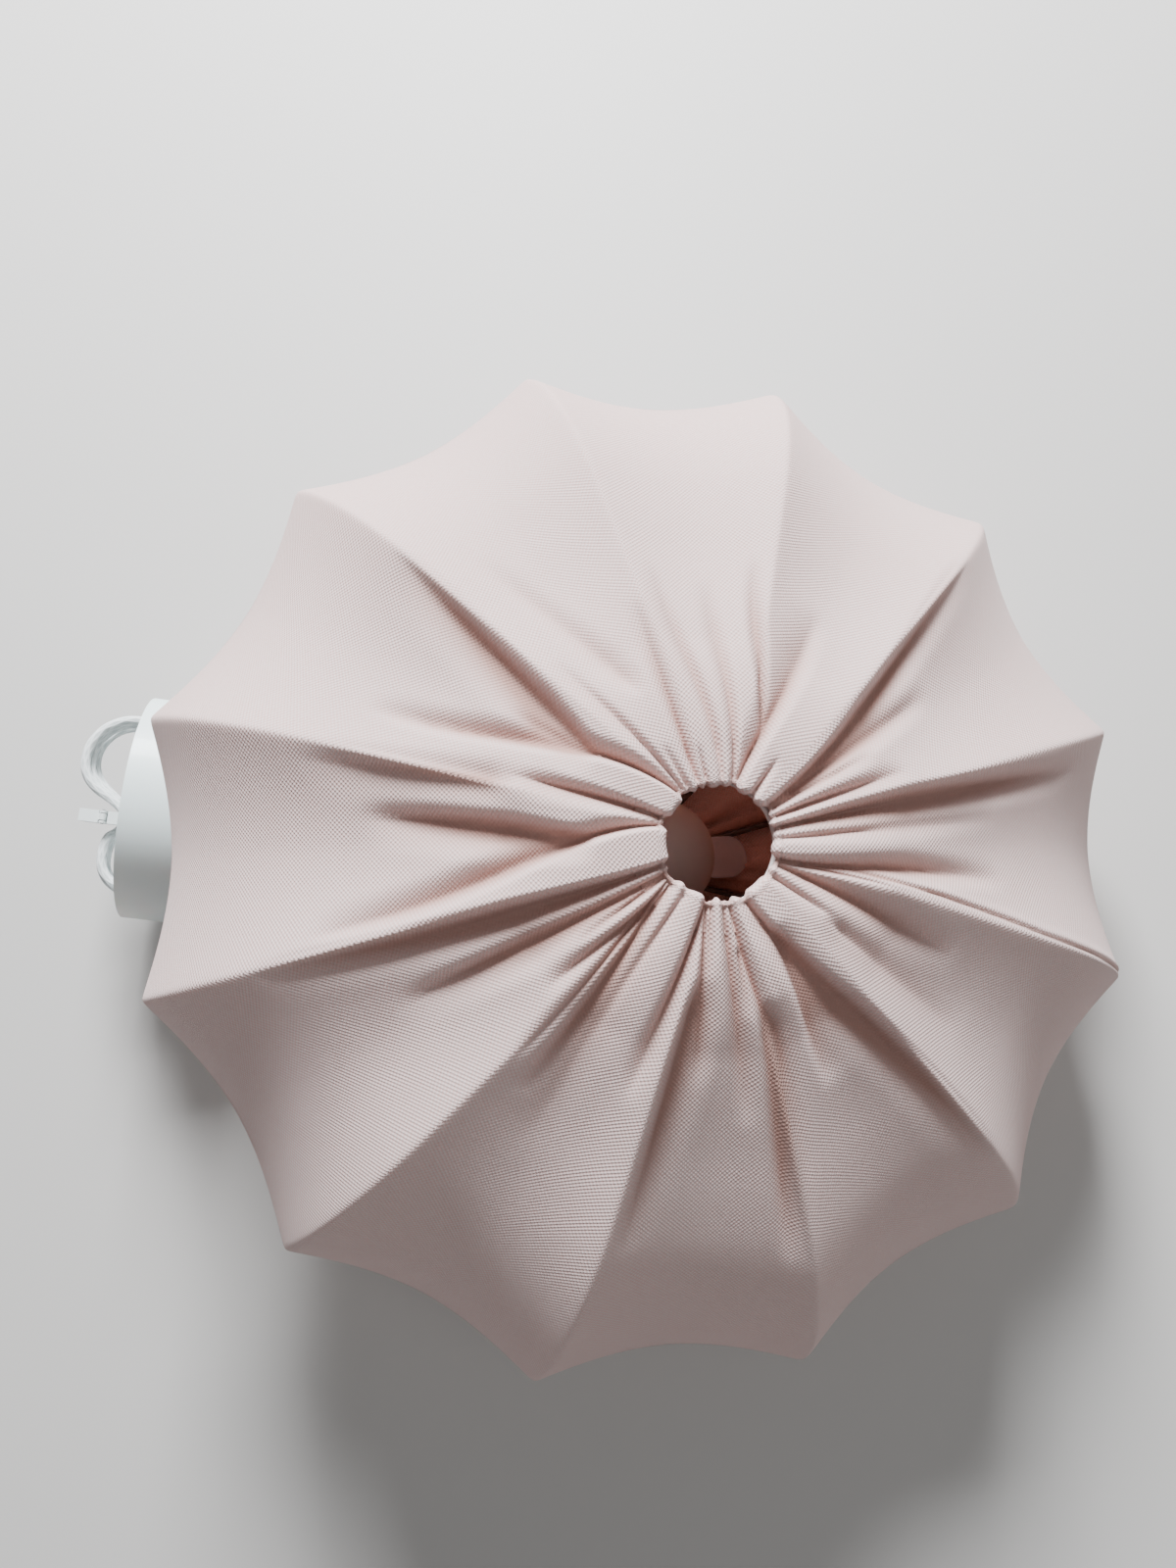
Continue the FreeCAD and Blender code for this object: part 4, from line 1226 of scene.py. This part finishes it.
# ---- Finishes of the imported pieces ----
@dataclass
class PackedPieces:
    """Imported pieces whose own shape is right, and their finishes."""

    ribs: int = 12

    def finishes(self) -> list[tuple[Moulded, tuple[str, ...]]]:
        """Return each finish with the nodes that take it.

        Returns:
            Pairs of a finish and the names of its nodes.
        """
        ribs = tuple("rib_%02d" % (index + 1) for index in range(self.ribs))
        return [
            (Moulded("frame_wire", (0.13, 0.12, 0.115), 0.42, 0.00003, 500.0, 0.6, soil=0.08),
             ribs + ("bottom_ring", "top_ring", "holder_carrier")),
            (Moulded("elastic", (0.80, 0.72, 0.69), 0.85, 0.0002, 1300.0, soil=0.05),
             ("bottom_elastic", "top_elastic")),
            (Moulded("holder_plastic", (0.80, 0.80, 0.78), 0.35, 0.00002, 1200.0, coat=0.15),
             ("holder_skirt", "retaining_ring", "holder_cap", "cord_grip")),
            (Moulded("insulator", (0.78, 0.78, 0.74), 0.5, 0.00003, 1500.0),
             ("contact_insert", "bulb_insulator", "terminal_block")),
            (Moulded("contact_metal", (0.82, 0.66, 0.38), 0.28, 0.00002, 900.0, 1.0, soil=0.1),
             ("screw_shell", "centre_contact", "terminal_screw_1", "terminal_screw_2")),
            (Moulded("cap_metal", (0.72, 0.72, 0.72), 0.25, 0.00002, 900.0, 1.0, soil=0.08),
             ("bulb_screw_cap",)),
            (Moulded("bulb_collar", (0.84, 0.83, 0.80), 0.4, 0.00002, 1200.0),
             ("bulb_collar",)),
            # Frosted bulb, darkened and tinted pink: painted shade and pink light thrown on it by
            # the fabric round it.
            (Moulded("bulb_glass", (0.66, 0.54, 0.51), 0.6, 0.00002, 1600.0, coat=0.05,
                     soil=0.01, glow=0.2), ("bulb_globe",)),
            # White cup, tinted cyan: painted cool window light.
            (Moulded("cup_plastic", (0.80, 0.90, 0.895), 0.42, 0.00002, 1300.0, coat=0.1,
                     soil=0.015, glow=0.04), ("ceiling_cup", "cord_bush", "bush_nut")),
            (Moulded("tie_plastic_clip", (0.82, 0.86, 0.85), 0.4, 0.00002, 1400.0, soil=0.03),
             ("clip_base", "clip_arm")),
            (Moulded("pin_metal", (0.60, 0.60, 0.58), 0.3, 0.00002, 1400.0, 1.0, soil=0.1),
             ("clip_pin",)),
        ]

    def dress(self) -> int:
        """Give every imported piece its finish.

        Returns:
            How many pieces were dressed.
        """
        count = 0
        for finish, nodes in self.finishes():
            material = finish.make()
            for node in nodes:
                piece = frame["nodes"][node]
                if not piece.material_slots:
                    piece.data.materials.append(material)
                for slot in piece.material_slots:
                    slot.material = material
                count += 1
        return count


# ---- Camera, floor and light ----
@dataclass(frozen=True)
class Studio:
    """Plain pale floor, soft light from a high window side, and the camera."""

    camera_place: Triple = (0.0099, -0.0660, 0.7252)
    camera_right: Triple = (0.969, 0.243, -0.050)
    camera_ahead: Triple = (-0.089, 0.153, -0.984)
    lens: float = 27.0
    sensor: float = 36.0
    floor_colour: Triple = (0.62, 0.60, 0.58)
    floor_half: float = 6.0
    world_colour: Triple = (0.80, 0.84, 0.88)
    world_strength: float = 0.19

    def set_camera(self) -> None:
        """Place the camera that sees the light opening and the cup."""
        data = bpy.data.cameras.new("camera")
        data.lens = self.lens
        data.sensor_width = self.sensor
        camera = placed("camera", data)
        ahead = Vector(self.camera_ahead).normalized()
        right = Vector(self.camera_right)
        right = (right - ahead * right.dot(ahead)).normalized()
        up = right.cross(ahead)
        camera.matrix_world = axes_at(self.camera_place, right, up, -ahead)
        bpy.context.scene.camera = camera

    def lay_floor(self) -> None:
        """Lay the floor as a large plain sheet."""
        mesh = bpy.data.meshes.new("floor")
        size = self.floor_half
        mesh.from_pydata([(-size, -size, 0), (size, -size, 0), (size, size, 0), (-size, size, 0)],
                         [], [(0, 1, 2, 3)])
        floor = placed("floor", mesh)
        nodes = Nodes("floor_pale")
        shader = nodes.principled(Base_Color=self.floor_colour, Roughness=0.6)
        mesh.materials.append(nodes.finish(shader))

    def light(self, name: str, place: Triple, size: float, power: float,
              colour: Triple) -> None:
        """Add one soft light aimed at the shade.

        Args:
            name: the light's name.
            place: where it hangs, in metres.
            size: side of its square face.
            power: watts.
            colour: its tint.
        """
        data = bpy.data.lights.new(name, "AREA")
        data.size = size
        data.energy = power
        data.color = colour
        lamp = placed(name, data)
        aim = Vector((0.0, 0.0, 0.1)) - Vector(place)
        lamp.matrix_world = (Matrix.Translation(place)
                             @ aim.to_track_quat("-Z", "Y").to_matrix().to_4x4())

    def set_lights(self) -> None:
        """Hang the window light and the fill overhead, and set the faint light all round."""
        self.light("window", (-0.65, 1.70, 1.28), 0.7, 168.0, (0.95, 0.975, 1.0))
        self.light("overhead", (0.9, -0.3, 2.5), 1.8, 12.0, (1.0, 0.99, 0.97))
        world = bpy.data.worlds.new("world")
        world.use_nodes = True
        sky = world.node_tree.nodes["Background"]
        sky.inputs[0].default_value = (*self.world_colour, 1.0)
        sky.inputs[1].default_value = self.world_strength
        bpy.context.scene.world = world


def main() -> None:
    """Build every piece in order and report each one."""
    logging.basicConfig(level=logging.INFO, format="%(name)s: %(message)s")
    studio = Studio()
    studio.set_camera()
    studio.lay_floor()
    studio.set_lights()
    for maker in (HankStrap(), PendantCord(), FabricCover(), CareLabel()):
        piece = maker.build()
        LOG.info("%s: %d faces", piece.name, len(piece.data.polygons))
    LOG.info("%d packed pieces dressed", PackedPieces().dress())


if __name__ == "__main__":
    main()
